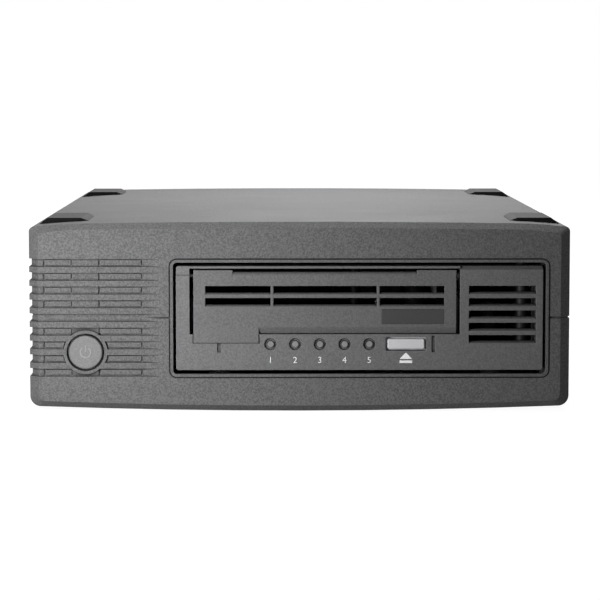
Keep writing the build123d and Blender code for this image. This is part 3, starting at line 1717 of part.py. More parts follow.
# Main board under the deck, its chips, its screws and the drive's rear connector
chip_thickness = 1.1
chip_side = 22.0
chip_shares = ((-0.25, -0.2), (0.05, 0.05), (0.28, 0.3))
board_length = drive_length - board_rear_inset - board_front_inset
board_width = drive_width - 2 * base_wall - 2 * slide_gap
board_y = drive_front_y + board_front_inset + board_length / 2
board_bottom = main_board_top - main_board
with BuildPart() as main_board_part:
    with Locations((drive_x, board_y, main_board_top - main_board / 2)):
        Box(board_width, board_length, main_board)
    with BuildSketch(Plane.XY.offset(board_bottom)):
        with Locations((drive_x, (drive_front_y + drive_rear_y) / 2)):
            with GridLocations(board_screw_spread_x, board_screw_spread_y, 2, 2):
                Circle(small_screw)
    extrude(amount=main_board, mode=Mode.SUBTRACT)
main_board_part.part.label = "main_board"
export_step(main_board_part.part, "parts/main_board.step")

with BuildPart() as board_chips:
    for x_share, y_share in chip_shares:
        with Locations(
            (
                drive_x + x_share * board_width,
                board_y + y_share * board_length,
                board_bottom - chip_thickness / 2,
            )
        ):
            Box(chip_side, chip_side, chip_thickness)
board_chips.part.label = "board_chips"
export_step(board_chips.part, "parts/board_chips.step")

with BuildPart() as drive_connector:
    with Locations(
        (
            drive_x,
            board_y + board_length / 2 - connector_length / 2 + slide_gap,
            main_board_top + connector_height / 2,
        )
    ):
        Box(connector_width, connector_length, connector_height)
drive_connector.part.label = "drive_connector"
export_step(drive_connector.part, "parts/drive_connector.step")

# Plate screws: four that hold the cradle on its posts and four that hold the main board
cradle_screw_length = 9.0
board_screw_length = 4.0
with BuildPart() as plate_screws:
    with BuildSketch(Plane.XY.offset(drive_bottom)):
        with Locations((drive_x, cradle_y)):
            with GridLocations(cradle_post_spread_x, cradle_post_spread_y, 2, 2):
                Circle(small_head)
    extrude(amount=-plate_screw_head)
    with BuildSketch(Plane.XY.offset(drive_bottom)):
        with Locations((drive_x, cradle_y)):
            with GridLocations(cradle_post_spread_x, cradle_post_spread_y, 2, 2):
                Circle(screw_pilot - running_gap)
    extrude(amount=-cradle_screw_length)
    with BuildSketch(Plane.XY.offset(board_bottom)):
        with Locations((drive_x, (drive_front_y + drive_rear_y) / 2)):
            with GridLocations(board_screw_spread_x, board_screw_spread_y, 2, 2):
                Circle(small_head)
    extrude(amount=-plate_screw_head)
    with BuildSketch(Plane.XY.offset(board_bottom)):
        with Locations((drive_x, (drive_front_y + drive_rear_y) / 2)):
            with GridLocations(board_screw_spread_x, board_screw_spread_y, 2, 2):
                Circle(screw_pilot - running_gap)
    extrude(amount=board_screw_length)
plate_screws.part.label = "plate_screws"
export_step(plate_screws.part, "parts/plate_screws.step")

# Cartridge tray
with BuildPart() as loader_tray:
    with Locations((door_x, tray_y, tray_floor - tray_sheet / 2)):
        Box(tray_width + 2 * tray_sheet, tray_length, tray_sheet)
    for side in (-1, 1):
        with Locations(
            (
                door_x + side * (tray_width + tray_sheet) / 2,
                tray_y,
                tray_floor + tray_height / 2,
            )
        ):
            Box(tray_sheet, tray_length, tray_height)
        with Locations(
            (
                door_x + side * (tray_width / 2 + tray_sheet - tray_lip / 2),
                tray_y,
                tray_floor + tray_height + tray_sheet / 2,
            )
        ):
            Box(tray_lip, tray_length, tray_sheet)
    with BuildSketch(Plane.XY.offset(tray_floor - tray_sheet)):
        with Locations((chuck_x, chuck_y)):
            Circle(tray_hole)
    extrude(amount=tray_sheet, mode=Mode.SUBTRACT)
    with BuildSketch(Plane.YZ.offset(tray_left)):
        with Locations(*[(y, tray_pin_z) for y in tray_pin_places]):
            Circle(tray_pin)
    extrude(amount=drive_left + seat_gap - tray_left)
    with BuildSketch(Plane.YZ.offset(tray_right)):
        with Locations(*[(y, tray_pin_z) for y in tray_pin_places]):
            Circle(tray_pin)
    extrude(amount=guide_left + guide_thickness - tray_right)
loader_tray.part.label = "loader_tray"
export_step(loader_tray.part, "parts/loader_tray.step")

# Loader slider
cam_angle = math.degrees(math.atan2(tray_drop, slider_travel))
cam_length = math.hypot(tray_drop, slider_travel)
cam_places = [(y - slider_travel / 2, tray_pin_z - tray_drop / 2) for y in tray_pin_places]
rack_pitch = math.pi * gear_module
rack_line = gear_x - pinion_teeth * gear_module / 2
rack_root = rack_line - gear_dedendum
rack_tip = rack_line + gear_addendum
rack_half = rack_pitch / 4 - gear_backlash / 2
rack_flank = math.tan(math.radians(20))
rack_first_y = gear_y - (rack_teeth - 2.5) * rack_pitch
with BuildPart() as loader_slider:
    for x in (slider_left, slider_right):
        with Locations(
            (
                x + slider_plate / 2,
                (slider_front + slider_rear) / 2,
                (slider_low + slider_high) / 2,
            )
        ):
            Box(slider_plate, slider_rear - slider_front, slider_high - slider_low)
        with Locations(
            (
                x + slider_plate / 2,
                slider_front + slider_bar_width / 2,
                (slider_bar_low + slider_high) / 2,
            )
        ):
            Box(slider_plate, slider_bar_width, slider_high - slider_bar_low)
    with Locations(
        (
            (slider_left + slider_right + slider_plate) / 2,
            slider_front + slider_bar_width / 2,
            slider_bar_low + slider_bar_height / 2,
        )
    ):
        Box(slider_right + slider_plate - slider_left, slider_bar_width, slider_bar_height)
    with BuildSketch(Plane.YZ.offset(slider_left - overrun)):
        with Locations(*cam_places):
            SlotCenterToCenter(cam_length, 2 * (tray_pin + slide_gap / 2), rotation=cam_angle)
    extrude(amount=slider_right - slider_left + slider_plate + 2 * overrun, mode=Mode.SUBTRACT)
    with BuildSketch(Plane.XY.offset(pinion_low)):
        with Locations(
            (
                (slider_right + slider_plate + rack_root) / 2,
                rack_first_y + (rack_teeth - 1) * rack_pitch / 2,
            )
        ):
            Rectangle(rack_root - slider_right - slider_plate, rack_teeth * rack_pitch)
        for tooth in range(rack_teeth):
            tooth_y = rack_first_y + tooth * rack_pitch
            with BuildLine():
                Polyline(
                    (rack_root, tooth_y - rack_half - gear_dedendum * rack_flank),
                    (rack_tip, tooth_y - rack_half + gear_addendum * rack_flank),
                    (rack_tip, tooth_y + rack_half - gear_addendum * rack_flank),
                    (rack_root, tooth_y + rack_half + gear_dedendum * rack_flank),
                    close=True,
                )
            make_face()
    extrude(amount=pinion_height)
loader_slider.part.label = "loader_slider"
export_step(loader_slider.part, "parts/loader_slider.step")

# Loader gear: a pinion on the rack under a large gear that the motor pinion turns
motor_angle = -75
motor_distance = (gear_teeth + motor_teeth) * gear_module / 2
motor_x = gear_x + motor_distance * math.cos(math.radians(motor_angle))
motor_y = gear_y + motor_distance * math.sin(math.radians(motor_angle))
motor_can = 7.0
motor_shaft = 1.0
motor_gap = 0.8
with BuildPart() as loader_gear:
    extrude(gear_sketch(pinion_low, gear_x, gear_y, pinion_teeth, 0), amount=gear_low - pinion_low)
    extrude(gear_sketch(gear_low, gear_x, gear_y, gear_teeth, motor_angle), amount=gear_height)
    with BuildSketch(Plane.XY.offset(pinion_low)):
        with Locations((gear_x, gear_y)):
            Circle(gear_post + running_gap)
    extrude(amount=gear_low + gear_height - pinion_low, mode=Mode.SUBTRACT)
loader_gear.part.label = "loader_gear"
export_step(loader_gear.part, "parts/loader_gear.step")

with BuildPart() as loader_motor:
    with BuildSketch(Plane.XY.offset(deck_top)):
        with Locations((motor_x, motor_y)):
            Circle(motor_can)
    extrude(amount=gear_low - motor_gap - deck_top)
    with BuildSketch(Plane.XY.offset(gear_low - motor_gap)):
        with Locations((motor_x, motor_y)):
            Circle(motor_shaft)
    extrude(amount=motor_gap + gear_height)
loader_motor.part.label = "loader_motor"
export_step(loader_motor.part, "parts/loader_motor.step")

with BuildPart() as motor_pinion:
    extrude(
        gear_sketch(gear_low, motor_x, motor_y, motor_teeth, motor_angle + 180 + 180 / motor_teeth),
        amount=gear_height,
    )
    with BuildSketch(Plane.XY.offset(gear_low)):
        with Locations((motor_x, motor_y)):
            Circle(motor_shaft + running_gap)
    extrude(amount=gear_height, mode=Mode.SUBTRACT)
motor_pinion.part.label = "motor_pinion"
export_step(motor_pinion.part, "parts/motor_pinion.step")

# Spindle motors: a can in each deck hole, with a flange on the deck and a shaft
motor_depth = 2.2  # under the deck's top
motor_flange = 0.8
motor_flange_step = 2.5
chuck_radius = 17.0
chuck_low = deck_top + motor_flange + slide_gap
chuck_thickness = 2.0
chuck_teeth = 24
chuck_tooth = 1.0
chuck_tooth_width = 1.4
chuck_ring = 15.0


def spindle_motor(x, y, shaft_top):
    """A flat motor whose can fills its deck hole."""
    with BuildPart() as motor:
        with BuildSketch(Plane.XY.offset(deck_top - motor_depth)):
            with Locations((x, y)):
                Circle(motor_radius)
        extrude(amount=motor_depth)
        with BuildSketch(Plane.XY.offset(deck_top)):
            with Locations((x, y)):
                Circle(motor_radius + motor_flange_step)
        extrude(amount=motor_flange)
        with BuildSketch(Plane.XY.offset(deck_top)):
            with Locations((x, y)):
                Circle(spindle)
        extrude(amount=shaft_top - deck_top)
    return motor.part


chuck_motor = spindle_motor(chuck_x, chuck_y, chuck_low + chuck_thickness)
chuck_motor.label = "chuck_motor"
export_step(chuck_motor, "parts/chuck_motor.step")
reel_motor = spindle_motor(reel_x, reel_y, reel_low + 2 * reel_sheet + tape_room)
reel_motor.label = "reel_motor"
export_step(reel_motor, "parts/reel_motor.step")

with BuildPart() as reel_chuck:
    with BuildSketch(Plane.XY.offset(chuck_low)):
        with Locations((chuck_x, chuck_y)):
            Circle(chuck_radius)
            Circle(spindle + running_gap, mode=Mode.SUBTRACT)
    extrude(amount=chuck_thickness)
    with Locations((chuck_x, chuck_y, chuck_low + chuck_thickness + chuck_tooth / 2)):
        with PolarLocations(chuck_ring, chuck_teeth):
            Box(chuck_radius - chuck_ring, chuck_tooth_width, chuck_tooth)
reel_chuck.part.label = "reel_chuck"
export_step(reel_chuck.part, "parts/reel_chuck.step")

with BuildPart() as take_up_reel:
    with BuildSketch(Plane.XY.offset(reel_low)):
        with Locations((reel_x, reel_y)):
            Circle(reel_flange)
    extrude(amount=reel_sheet)
    with BuildSketch(Plane.XY.offset(reel_low)):
        with Locations((reel_x, reel_y)):
            Circle(reel_hub)
    extrude(amount=2 * reel_sheet + tape_room)
    with BuildSketch(Plane.XY.offset(reel_low + reel_sheet + tape_room)):
        with Locations((reel_x, reel_y)):
            Circle(reel_flange)
            with PolarLocations((reel_hub + reel_flange) / 2, reel_windows):
                Circle(reel_window, mode=Mode.SUBTRACT)
    extrude(amount=reel_sheet)
    with BuildSketch(Plane.XY.offset(reel_low)):
        with Locations((reel_x, reel_y)):
            Circle(spindle + running_gap)
    extrude(amount=2 * reel_sheet + tape_room, mode=Mode.SUBTRACT)
take_up_reel.part.label = "take_up_reel"
export_step(take_up_reel.part, "parts/take_up_reel.step")

# Guide rollers and their posts
with BuildPart() as roller_posts:
    with BuildSketch(Plane.XY.offset(deck_top)):
        with Locations(*roller_places):
            Circle(roller_collar)
    extrude(amount=roller_low - running_gap - deck_top)
    with BuildSketch(Plane.XY.offset(deck_top)):
        with Locations(*roller_places):
            Circle(roller_post)
    extrude(amount=roller_shaft_top - deck_top)
roller_posts.part.label = "roller_posts"
export_step(roller_posts.part, "parts/roller_posts.step")

for number, place in enumerate(roller_places, start=1):
    with BuildPart() as guide_roller:
        with BuildSketch(Plane.XY.offset(roller_low)):
            with Locations(place):
                Circle(roller_radius)
        extrude(amount=roller_height)
        with BuildSketch(Plane.XY.offset(roller_low + reel_sheet)):
            with Locations(place):
                Circle(roller_radius)
                Circle(roller_radius - roller_groove, mode=Mode.SUBTRACT)
        extrude(amount=tape_room, mode=Mode.SUBTRACT)
        with BuildSketch(Plane.XY.offset(roller_low)):
            with Locations(place):
                Circle(roller_post + running_gap)
        extrude(amount=roller_height, mode=Mode.SUBTRACT)
    guide_roller.part.label = f"guide_roller_{number}"
    export_step(guide_roller.part, f"parts/guide_roller_{number}.step")

# Tape head on its carriage, the coil that lifts it, and the frame with rods and magnet
with BuildPart() as tape_head:
    with BuildSketch(Plane.XY.offset(head_z - head_height / 2)):
        with Locations((head_x, head_y)):
            Rectangle(head_width, head_length)
        with Locations((head_x + head_width / 2, head_y)):
            Ellipse(head_crown, head_length / 2)
    extrude(amount=head_height)
tape_head.part.label = "tape_head"
export_step(tape_head.part, "parts/tape_head.step")

with BuildPart() as head_carriage:
    with Locations((carriage_x, head_y, head_z)):
        Box(carriage_width, carriage_length, carriage_height)
    with BuildSketch(Plane.XY.offset(head_z - carriage_height / 2)):
        with Locations((carriage_x, head_y)):
            with GridLocations(0, rod_spread, 1, 2):
                Circle(rod_radius + running_gap)
    extrude(amount=carriage_height, mode=Mode.SUBTRACT)
head_carriage.part.label = "head_carriage"
export_step(head_carriage.part, "parts/head_carriage.step")

with BuildPart() as head_coil:
    with Locations((coil_x, head_y, head_z)):
        Box(coil_width, coil_length, coil_height)
        Box(
            coil_width - 2 * coil_wall,
            coil_length - 2 * coil_wall,
            coil_height,
            mode=Mode.SUBTRACT,
        )
head_coil.part.label = "head_coil"
export_step(head_coil.part, "parts/head_coil.step")

frame_left = coil_x - coil_width / 2 - frame_border
frame_right = carriage_x + carriage_width / 2
with BuildPart() as head_frame:
    with Locations(((frame_left + frame_right) / 2, head_y, deck_top + frame_plate / 2)):
        Box(frame_right - frame_left, carriage_length, frame_plate)
    with BuildSketch(Plane.XY.offset(deck_top)):
        with Locations((carriage_x, head_y)):
            with GridLocations(0, rod_spread, 1, 2):
                Circle(rod_radius)
    extrude(amount=head_z + carriage_height / 2 + head_lift + post_cap - deck_top)
head_frame.part.label = "head_frame"
export_step(head_frame.part, "parts/head_frame.step")

with BuildPart() as head_magnet:
    core_width = coil_width - 2 * coil_wall - 2 * magnet_gap
    core_length = coil_length - 2 * coil_wall - 2 * magnet_gap
    with Locations((coil_x, head_y, deck_top + frame_plate + magnet_core_height / 2)):
        Box(core_width, core_length, magnet_core_height)
head_magnet.part.label = "head_magnet"
export_step(head_magnet.part, "parts/head_magnet.step")

# Threading arm on its post, with the pin that draws the tape's leader
with BuildPart() as threading_arm:
    with BuildSketch(Plane.XY.offset(arm_low)):
        with Locations((arm_x, arm_y)):
            Circle(arm_post + arm_hub_wall)
        with Locations((arm_x + arm_reach / 2, arm_y)):
            SlotCenterToCenter(arm_reach, arm_width)
        with Locations((arm_x, arm_y)):
            Circle(arm_post + running_gap, mode=Mode.SUBTRACT)
    extrude(amount=arm_thickness)
    with BuildSketch(Plane.XY.offset(arm_low)):
        with Locations((arm_x + arm_reach, arm_y)):
            Circle(leader_pin)
    extrude(amount=-leader_pin_drop)
threading_arm.part.label = "threading_arm"
export_step(threading_arm.part, "parts/threading_arm.step")
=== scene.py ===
import json
import math

import bmesh
import bpy
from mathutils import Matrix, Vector


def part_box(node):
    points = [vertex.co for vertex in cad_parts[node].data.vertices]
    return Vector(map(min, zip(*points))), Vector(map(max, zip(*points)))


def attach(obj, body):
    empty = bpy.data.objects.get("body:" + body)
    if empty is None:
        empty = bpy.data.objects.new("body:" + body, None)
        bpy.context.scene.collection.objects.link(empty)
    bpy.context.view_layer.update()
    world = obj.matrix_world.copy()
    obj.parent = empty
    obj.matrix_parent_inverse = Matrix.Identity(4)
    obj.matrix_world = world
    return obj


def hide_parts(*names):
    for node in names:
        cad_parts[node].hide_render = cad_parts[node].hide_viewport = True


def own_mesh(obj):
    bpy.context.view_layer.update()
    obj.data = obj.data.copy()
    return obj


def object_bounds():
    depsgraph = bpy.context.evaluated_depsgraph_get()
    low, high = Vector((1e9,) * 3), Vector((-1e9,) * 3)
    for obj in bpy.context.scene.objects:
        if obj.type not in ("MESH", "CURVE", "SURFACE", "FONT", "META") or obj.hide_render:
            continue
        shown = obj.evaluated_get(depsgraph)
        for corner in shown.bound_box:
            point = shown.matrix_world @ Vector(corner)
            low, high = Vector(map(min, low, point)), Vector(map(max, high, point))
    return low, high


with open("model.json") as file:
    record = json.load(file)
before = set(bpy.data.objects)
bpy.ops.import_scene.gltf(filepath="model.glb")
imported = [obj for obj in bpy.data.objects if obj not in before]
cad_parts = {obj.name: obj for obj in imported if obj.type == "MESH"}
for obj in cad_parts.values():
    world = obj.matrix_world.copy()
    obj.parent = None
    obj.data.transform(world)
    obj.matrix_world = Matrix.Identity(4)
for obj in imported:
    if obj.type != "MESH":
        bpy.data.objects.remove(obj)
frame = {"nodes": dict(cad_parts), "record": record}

cad_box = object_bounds()
nodes = frame["nodes"]
record = frame["record"]
scene = bpy.context.scene

WHITE = (1, 1, 1, 1)
FRONT = Vector((0, -1, 0))
LIGHTS = 5


# Node helpers

class Tree:
    """Short calls for building a node tree."""

    column_width = 190
    row_height = 220
    rows = 4
    mix_factor = 0
    mix_first = 6
    mix_second = 7
    mix_result = 2

    def __init__(self, tree):
        self.tree = tree
        self.count = 0

    def add(self, kind, **values):
        node = self.tree.nodes.new(kind)
        node.location = (self.count * self.column_width, (self.count % self.rows) * -self.row_height)
        self.count += 1
        for key, value in values.items():
            setattr(node, key, value)
        return node

    def link(self, source, target):
        self.tree.links.new(source, target)

    def put(self, value, target):
        """Links an output to the target, or sets a plain value on it."""
        if isinstance(value, bpy.types.NodeSocket):
            self.link(value, target)
        else:
            target.default_value = value

    def feed(self, node, **inputs):
        """Fills inputs by their names, with _ for each space."""
        for key, value in inputs.items():
            self.put(value, node.inputs[key.replace("_", " ")])
        return node

    def group(self, tree, **inputs):
        return self.feed(self.add("ShaderNodeGroup", node_tree=tree), **inputs)

    def place(self):
        """The point on the surface in its object's own coordinates, which are metres."""
        return self.add("ShaderNodeTexCoord").outputs["Object"]

    def math(self, operation, *values, clamp=False):
        node = self.add("ShaderNodeMath", operation=operation, use_clamp=clamp)
        for value, target in zip(values, node.inputs):
            self.put(value, target)
        return node.outputs[0]

    def noise(self, vector, scale, detail=2.0, roughness=0.5):
        node = self.add("ShaderNodeTexNoise")
        self.feed(node, Vector=vector, Scale=scale, Detail=detail, Roughness=roughness)
        return node.outputs["Fac"]

    def spread(self, value, low, high, to_low=0.0, to_high=1.0):
        node = self.add("ShaderNodeMapRange", clamp=True)
        self.feed(node, Value=value, From_Min=low, From_Max=high, To_Min=to_low, To_Max=to_high)
        return node.outputs[0]

    def contrast(self, noise, to_low=0.0, to_high=1.0, reach=0.2):
        """Spreads a noise, which varies about a half, over the reach on either side of it."""
        return self.spread(noise, 0.5 - reach, 0.5 + reach, to_low, to_high)

    def mix(self, factor, first, second):
        node = self.add("ShaderNodeMix", data_type="RGBA")
        self.put(factor, node.inputs[self.mix_factor])
        self.put(first, node.inputs[self.mix_first])
        self.put(second, node.inputs[self.mix_second])
        return node.outputs[self.mix_result]

    def scaled(self, vector, factors):
        node = self.add("ShaderNodeVectorMath", operation="MULTIPLY")
        self.link(vector, node.inputs[0])
        self.put(factors, node.inputs[1])
        return node.outputs[0]

    def bump(self, **inputs):
        return self.feed(self.add("ShaderNodeBump"), **inputs).outputs[0]


def new_group(name, inputs, outputs):
    """A node group with named and typed sockets; returns its tree and its input and output nodes."""
    tree = bpy.data.node_groups.new(name, "ShaderNodeTree")
    for label, kind, default in inputs:
        socket = tree.interface.new_socket(name=label, in_out="INPUT", socket_type=kind)
        if default is not None:
            socket.default_value = default
    for label, kind in outputs:
        tree.interface.new_socket(name=label, in_out="OUTPUT", socket_type=kind)
    build = Tree(tree)
    return build, build.add("NodeGroupInput"), build.add("NodeGroupOutput")


def empty_material(name):
    material = bpy.data.materials.new(name)
    material.use_nodes = True
    material.node_tree.nodes.clear()
    return material, Tree(material.node_tree)


def new_material(name):
    """A material with a Principled shader; returns it with its tree and its shader."""
    material, t = empty_material(name)
    shader = t.add("ShaderNodeBsdfPrincipled")
    t.link(shader.outputs[0], t.add("ShaderNodeOutputMaterial").inputs[0])
    return material, t, shader


def shade(color, factor):
    """The colour made darker or paler."""
    return tuple(min(channel * factor, 1.0) for channel in color[:3]) + (1.0,)


# Effects that several materials share

def edge_group():
    """Softens edges in the normal and gives a mask of them."""
    full_edge = 0.82
    t, source, sink = new_group(
        "soft_edges",
        [("Radius", "NodeSocketFloat", 0.0003)],
        [("Normal", "NodeSocketVector"), ("Edge", "NodeSocketFloat")],
    )
    bevel = t.feed(t.add("ShaderNodeBevel", samples=6), Radius=source.outputs["Radius"])
    geometry = t.add("ShaderNodeNewGeometry")
    agree = t.add("ShaderNodeVectorMath", operation="DOT_PRODUCT")
    t.link(bevel.outputs[0], agree.inputs[0])
    t.link(geometry.outputs["Normal"], agree.inputs[1])
    t.link(t.spread(agree.outputs["Value"], 1.0, full_edge), sink.inputs["Edge"])
    t.link(bevel.outputs[0], sink.inputs["Normal"])
    return t.tree


def grain_group():
    """Moulded grain: fine pits, as a normal and a value, and slow clouds, as a value of their own."""
    cell_share = 0.6
    cloud_scale = 26.0
    grain_reach = 0.14
    t, source, sink = new_group(
        "moulded_grain",
        [
            ("Scale", "NodeSocketFloat", 1400.0),
            ("Depth", "NodeSocketFloat", 0.00006),
            ("Normal", "NodeSocketVector", None),
        ],
        [("Normal", "NodeSocketVector"), ("Grain", "NodeSocketFloat"), ("Cloud", "NodeSocketFloat")],
    )
    place = t.place()
    scale = source.outputs["Scale"]
    fine = t.noise(place, scale, detail=3.0, roughness=0.6)
    cells = t.feed(t.add("ShaderNodeTexVoronoi", feature="SMOOTH_F1"), Vector=place, Scale=scale)
    height = t.math("ADD", fine, t.math("MULTIPLY", cells.outputs["Distance"], cell_share))
    pits = t.bump(Distance=source.outputs["Depth"], Height=height, Normal=source.outputs["Normal"])
    t.link(pits, sink.inputs["Normal"])
    t.link(t.contrast(fine, reach=grain_reach), sink.inputs["Grain"])
    t.link(t.noise(place, cloud_scale, detail=3.0, roughness=0.6), sink.inputs["Cloud"])
    return t.tree


def crease_group():
    """A mask of open surfaces, which falls to 0 in grooves, slots and inner corners; it is used to paint
    shade there.
    """
    closed = 0.42
    fully_open = 0.88
    t, source, sink = new_group(
        "painted_crease_shade", [("Distance", "NodeSocketFloat", 0.0018)], [("Open", "NodeSocketFloat")]
    )
    around = t.add("ShaderNodeAmbientOcclusion", samples=8, only_local=True)
    t.feed(around, Distance=source.outputs["Distance"])
    t.link(t.spread(around.outputs["AO"], closed, fully_open), sink.inputs["Open"])
    return t.tree


soft_edges = edge_group()
moulded_grain = grain_group()
painted_crease_shade = crease_group()


# Kinds of material

def plastic(
    name, color, roughness, scale=1500.0, depth=0.00006, speckle=0.16, wear_and_highlight=0.35, specular=0.4, radius=0.0003,
    painted_shade_reach=0.0,
):
    """Moulded plastic: speckled colour, pitted normal, cloudy roughness, paler edges that are partly wear and
    partly painted highlight, and painted shade in creases.
    """
    cloud_share = 0.22
    cloud_tone = 1.25
    edge_tone = 1.8
    painted_shade_tone = 0.1
    uneven = 0.05
    edge_polish = 0.12
    material, t, shader = new_material(name)
    edges = t.group(soft_edges, Radius=radius)
    edge = edges.outputs["Edge"]
    grain = t.group(moulded_grain, Scale=scale, Depth=depth, Normal=edges.outputs["Normal"])
    cloud = grain.outputs["Cloud"]
    toned = t.mix(grain.outputs["Grain"], shade(color, 1 - speckle), shade(color, 1 + speckle))
    clouded = t.mix(t.contrast(cloud, 0.0, cloud_share), toned, shade(color, cloud_tone))
    # Paler edges: partly wear, partly painted highlight along edges that catch the light.
    worn_highlit_shaded = t.mix(t.math("MULTIPLY", edge, wear_and_highlight), clouded, shade(color, edge_tone))
    # Painted shade: grooves, slots and inner corners darkened by the occlusion mask.
    if painted_shade_reach:
        unshaded_mask = t.group(painted_crease_shade, Distance=painted_shade_reach).outputs["Open"]
        worn_highlit_shaded = t.mix(unshaded_mask, shade(color, painted_shade_tone), worn_highlit_shaded)
    rough = t.contrast(cloud, roughness - uneven, roughness + uneven, reach=0.25)
    polished = t.math("SUBTRACT", rough, t.math("MULTIPLY", edge, edge_polish), clamp=True)
    t.feed(shader, Base_Color=worn_highlit_shaded, Roughness=polished, Normal=grain.outputs["Normal"])
    shader.inputs["Specular IOR Level"].default_value = specular
    return material


def metal(name, color, roughness, stretch=(1.0, 1.0, 1.0), scale=900.0, depth=0.00002, spangle=0.0):
    """Rolled or cast metal: grain drawn out by the stretch, uneven sheen, paler edges."""
    edge_radius = 0.00025
    patch_scale = 45.0
    flake_scale = 160.0
    grain_dark = 0.86
    grain_pale = 1.1
    flake_tone = 0.7
    edge_share = 0.4
    edge_tone = 1.3
    patch_sheen = (-0.06, 0.08)
    grain_sheen = (-0.05, 0.05)
    material, t, shader = new_material(name)
    edges = t.group(soft_edges, Radius=edge_radius)
    place = t.place()
    drawn = t.noise(t.scaled(place, stretch), scale, detail=3.0, roughness=0.6)
    patches = t.noise(place, patch_scale, detail=4.0, roughness=0.6)
    flakes = t.feed(t.add("ShaderNodeTexVoronoi"), Vector=place, Scale=flake_scale)
    flake = t.feed(t.add("ShaderNodeSeparateColor"), Color=flakes.outputs["Color"]).outputs[0]
    toned = t.mix(t.contrast(drawn), shade(color, grain_dark), shade(color, grain_pale))
    spangled = t.mix(t.math("MULTIPLY", flake, spangle), toned, shade(color, flake_tone))
    bright = t.mix(t.math("MULTIPLY", edges.outputs["Edge"], edge_share), spangled, shade(color, edge_tone))
    sheen = t.math("ADD", t.contrast(patches, *patch_sheen), t.contrast(drawn, *grain_sheen, reach=0.3))
    rough = t.math("ADD", sheen, roughness, clamp=True)
    normal = t.bump(Distance=depth, Height=drawn, Normal=edges.outputs["Normal"])
    t.feed(shader, Base_Color=bright, Roughness=rough, Normal=normal)
    shader.inputs["Metallic"].default_value = 1.0
    return material


def circuit_board(name):
    """Solder mask over copper tracks, with the weave of the laminate under it and tinned pads."""
    dark_mask = (0.012, 0.075, 0.035, 1)
    pale_mask = (0.018, 0.095, 0.045, 1)
    mask_on_copper = (0.035, 0.16, 0.07, 1)
    tin = (0.55, 0.54, 0.5, 1)
    mask_roughness = 0.35
    tin_roughness = 0.25
    track_height = 0.00003
    pad_rim = 0.2
    pad_middle = 0.16
    material, t, shader = new_material(name)
    place = t.place()
    tracks = t.add("ShaderNodeTexBrick", offset=0.37, squash=1.6)
    t.feed(tracks, Vector=place, Scale=160.0, Mortar_Size=0.09, Mortar_Smooth=0.1, Bias=-0.5)
    track = tracks.outputs["Fac"]
    pads = t.feed(t.add("ShaderNodeTexVoronoi"), Vector=place, Scale=230.0, Randomness=0.8)
    pad = t.spread(pads.outputs["Distance"], pad_rim, pad_middle)
    weave = t.feed(t.add("ShaderNodeTexWave"), Vector=place, Scale=420.0, Distortion=1.5)
    mask = t.mix(weave.outputs["Fac"], dark_mask, pale_mask)
    copper = t.mix(t.contrast(track, reach=0.1), mask, mask_on_copper)
    rough = t.spread(pad, 0.0, 1.0, mask_roughness, tin_roughness)
    t.feed(shader, Base_Color=t.mix(pad, copper, tin), Roughness=rough, Metallic=pad)
    t.feed(shader, Normal=t.bump(Distance=track_height, Height=track))
    return material


def wound(name, color, gap_color, pitch, roughness, metallic):
    """Wire or tape wound in layers: bands that run round the piece."""
    band_at_scale_one = 0.31
    gap_end = 0.15
    wire_start = 0.6
    height_share = 0.3
    uneven = 0.08
    material, t, shader = new_material(name)
    place = t.place()
    wave = t.add("ShaderNodeTexWave", bands_direction="Z", wave_profile="SIN")
    t.feed(wave, Vector=place, Scale=band_at_scale_one / pitch, Distortion=0.4, Detail_Scale=2.0)
    band = wave.outputs["Fac"]
    toned = t.mix(t.spread(band, gap_end, wire_start), gap_color, color)
    rough = t.contrast(t.noise(place, 300.0), roughness - uneven, roughness + uneven)
    t.feed(shader, Base_Color=toned, Roughness=rough)
    t.feed(shader, Normal=t.bump(Distance=pitch * height_share, Height=band))
    shader.inputs["Metallic"].default_value = metallic
    return material


def sleeve(name):
    """A can's shrink sleeve, dark with a paler stripe on one side, and its bare aluminium top."""
    dark = (0.02, 0.03, 0.09, 1)
    stripe_color = (0.4, 0.42, 0.46, 1)
    fleck = (0.05, 0.06, 0.12, 1)
    fleck_share = 0.2
    aluminium = (0.6, 0.6, 0.61, 1)
    stripe_start, stripe_full = 0.0026, 0.0022
    top_start, top_full = 0.0003, 0.0002
    material, t, shader = new_material(name)
    place = t.place()
    parts = t.feed(t.add("ShaderNodeSeparateXYZ"), Vector=place)
    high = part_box("supply_capacitors")[1]
    stripe = t.spread(parts.outputs["X"], high.x - stripe_start, high.x - stripe_full)
    top = t.spread(parts.outputs["Z"], high.z - top_start, high.z - top_full)
    striped = t.mix(stripe, dark, stripe_color)
    flecked = t.mix(t.contrast(t.noise(place, 500.0), 0.0, fleck_share, reach=0.1), striped, fleck)
    t.feed(shader, Base_Color=t.mix(top, flecked, aluminium), Roughness=0.35, Metallic=top)
    return material


def light_rims(t, place):
    """1 in the middle of each light's lens and 0 on its rim, from the row's pitch and the lens radius; the
    rim gets a painted shadow.
    """
    rim_radius = 0.0014
    clear_radius = 0.0011
    low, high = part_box("light_pipes")
    lens_radius = (high.z - low.z) / 2
    pitch = (high.x - low.x - 2 * lens_radius) / (LIGHTS - 1)
    parts = t.feed(t.add("ShaderNodeSeparateXYZ"), Vector=place)
    along = t.math("SUBTRACT", parts.outputs["X"], low.x + lens_radius - pitch / 2)
    across = t.math("SUBTRACT", t.math("FLOORED_MODULO", along, pitch), pitch / 2)
    upward = t.math("SUBTRACT", parts.outputs["Z"], (low.z + high.z) / 2)
    squares = t.math("ADD", t.math("MULTIPLY", across, across), t.math("MULTIPLY", upward, upward))
    return t.spread(t.math("SQRT", squares), rim_radius, clear_radius)


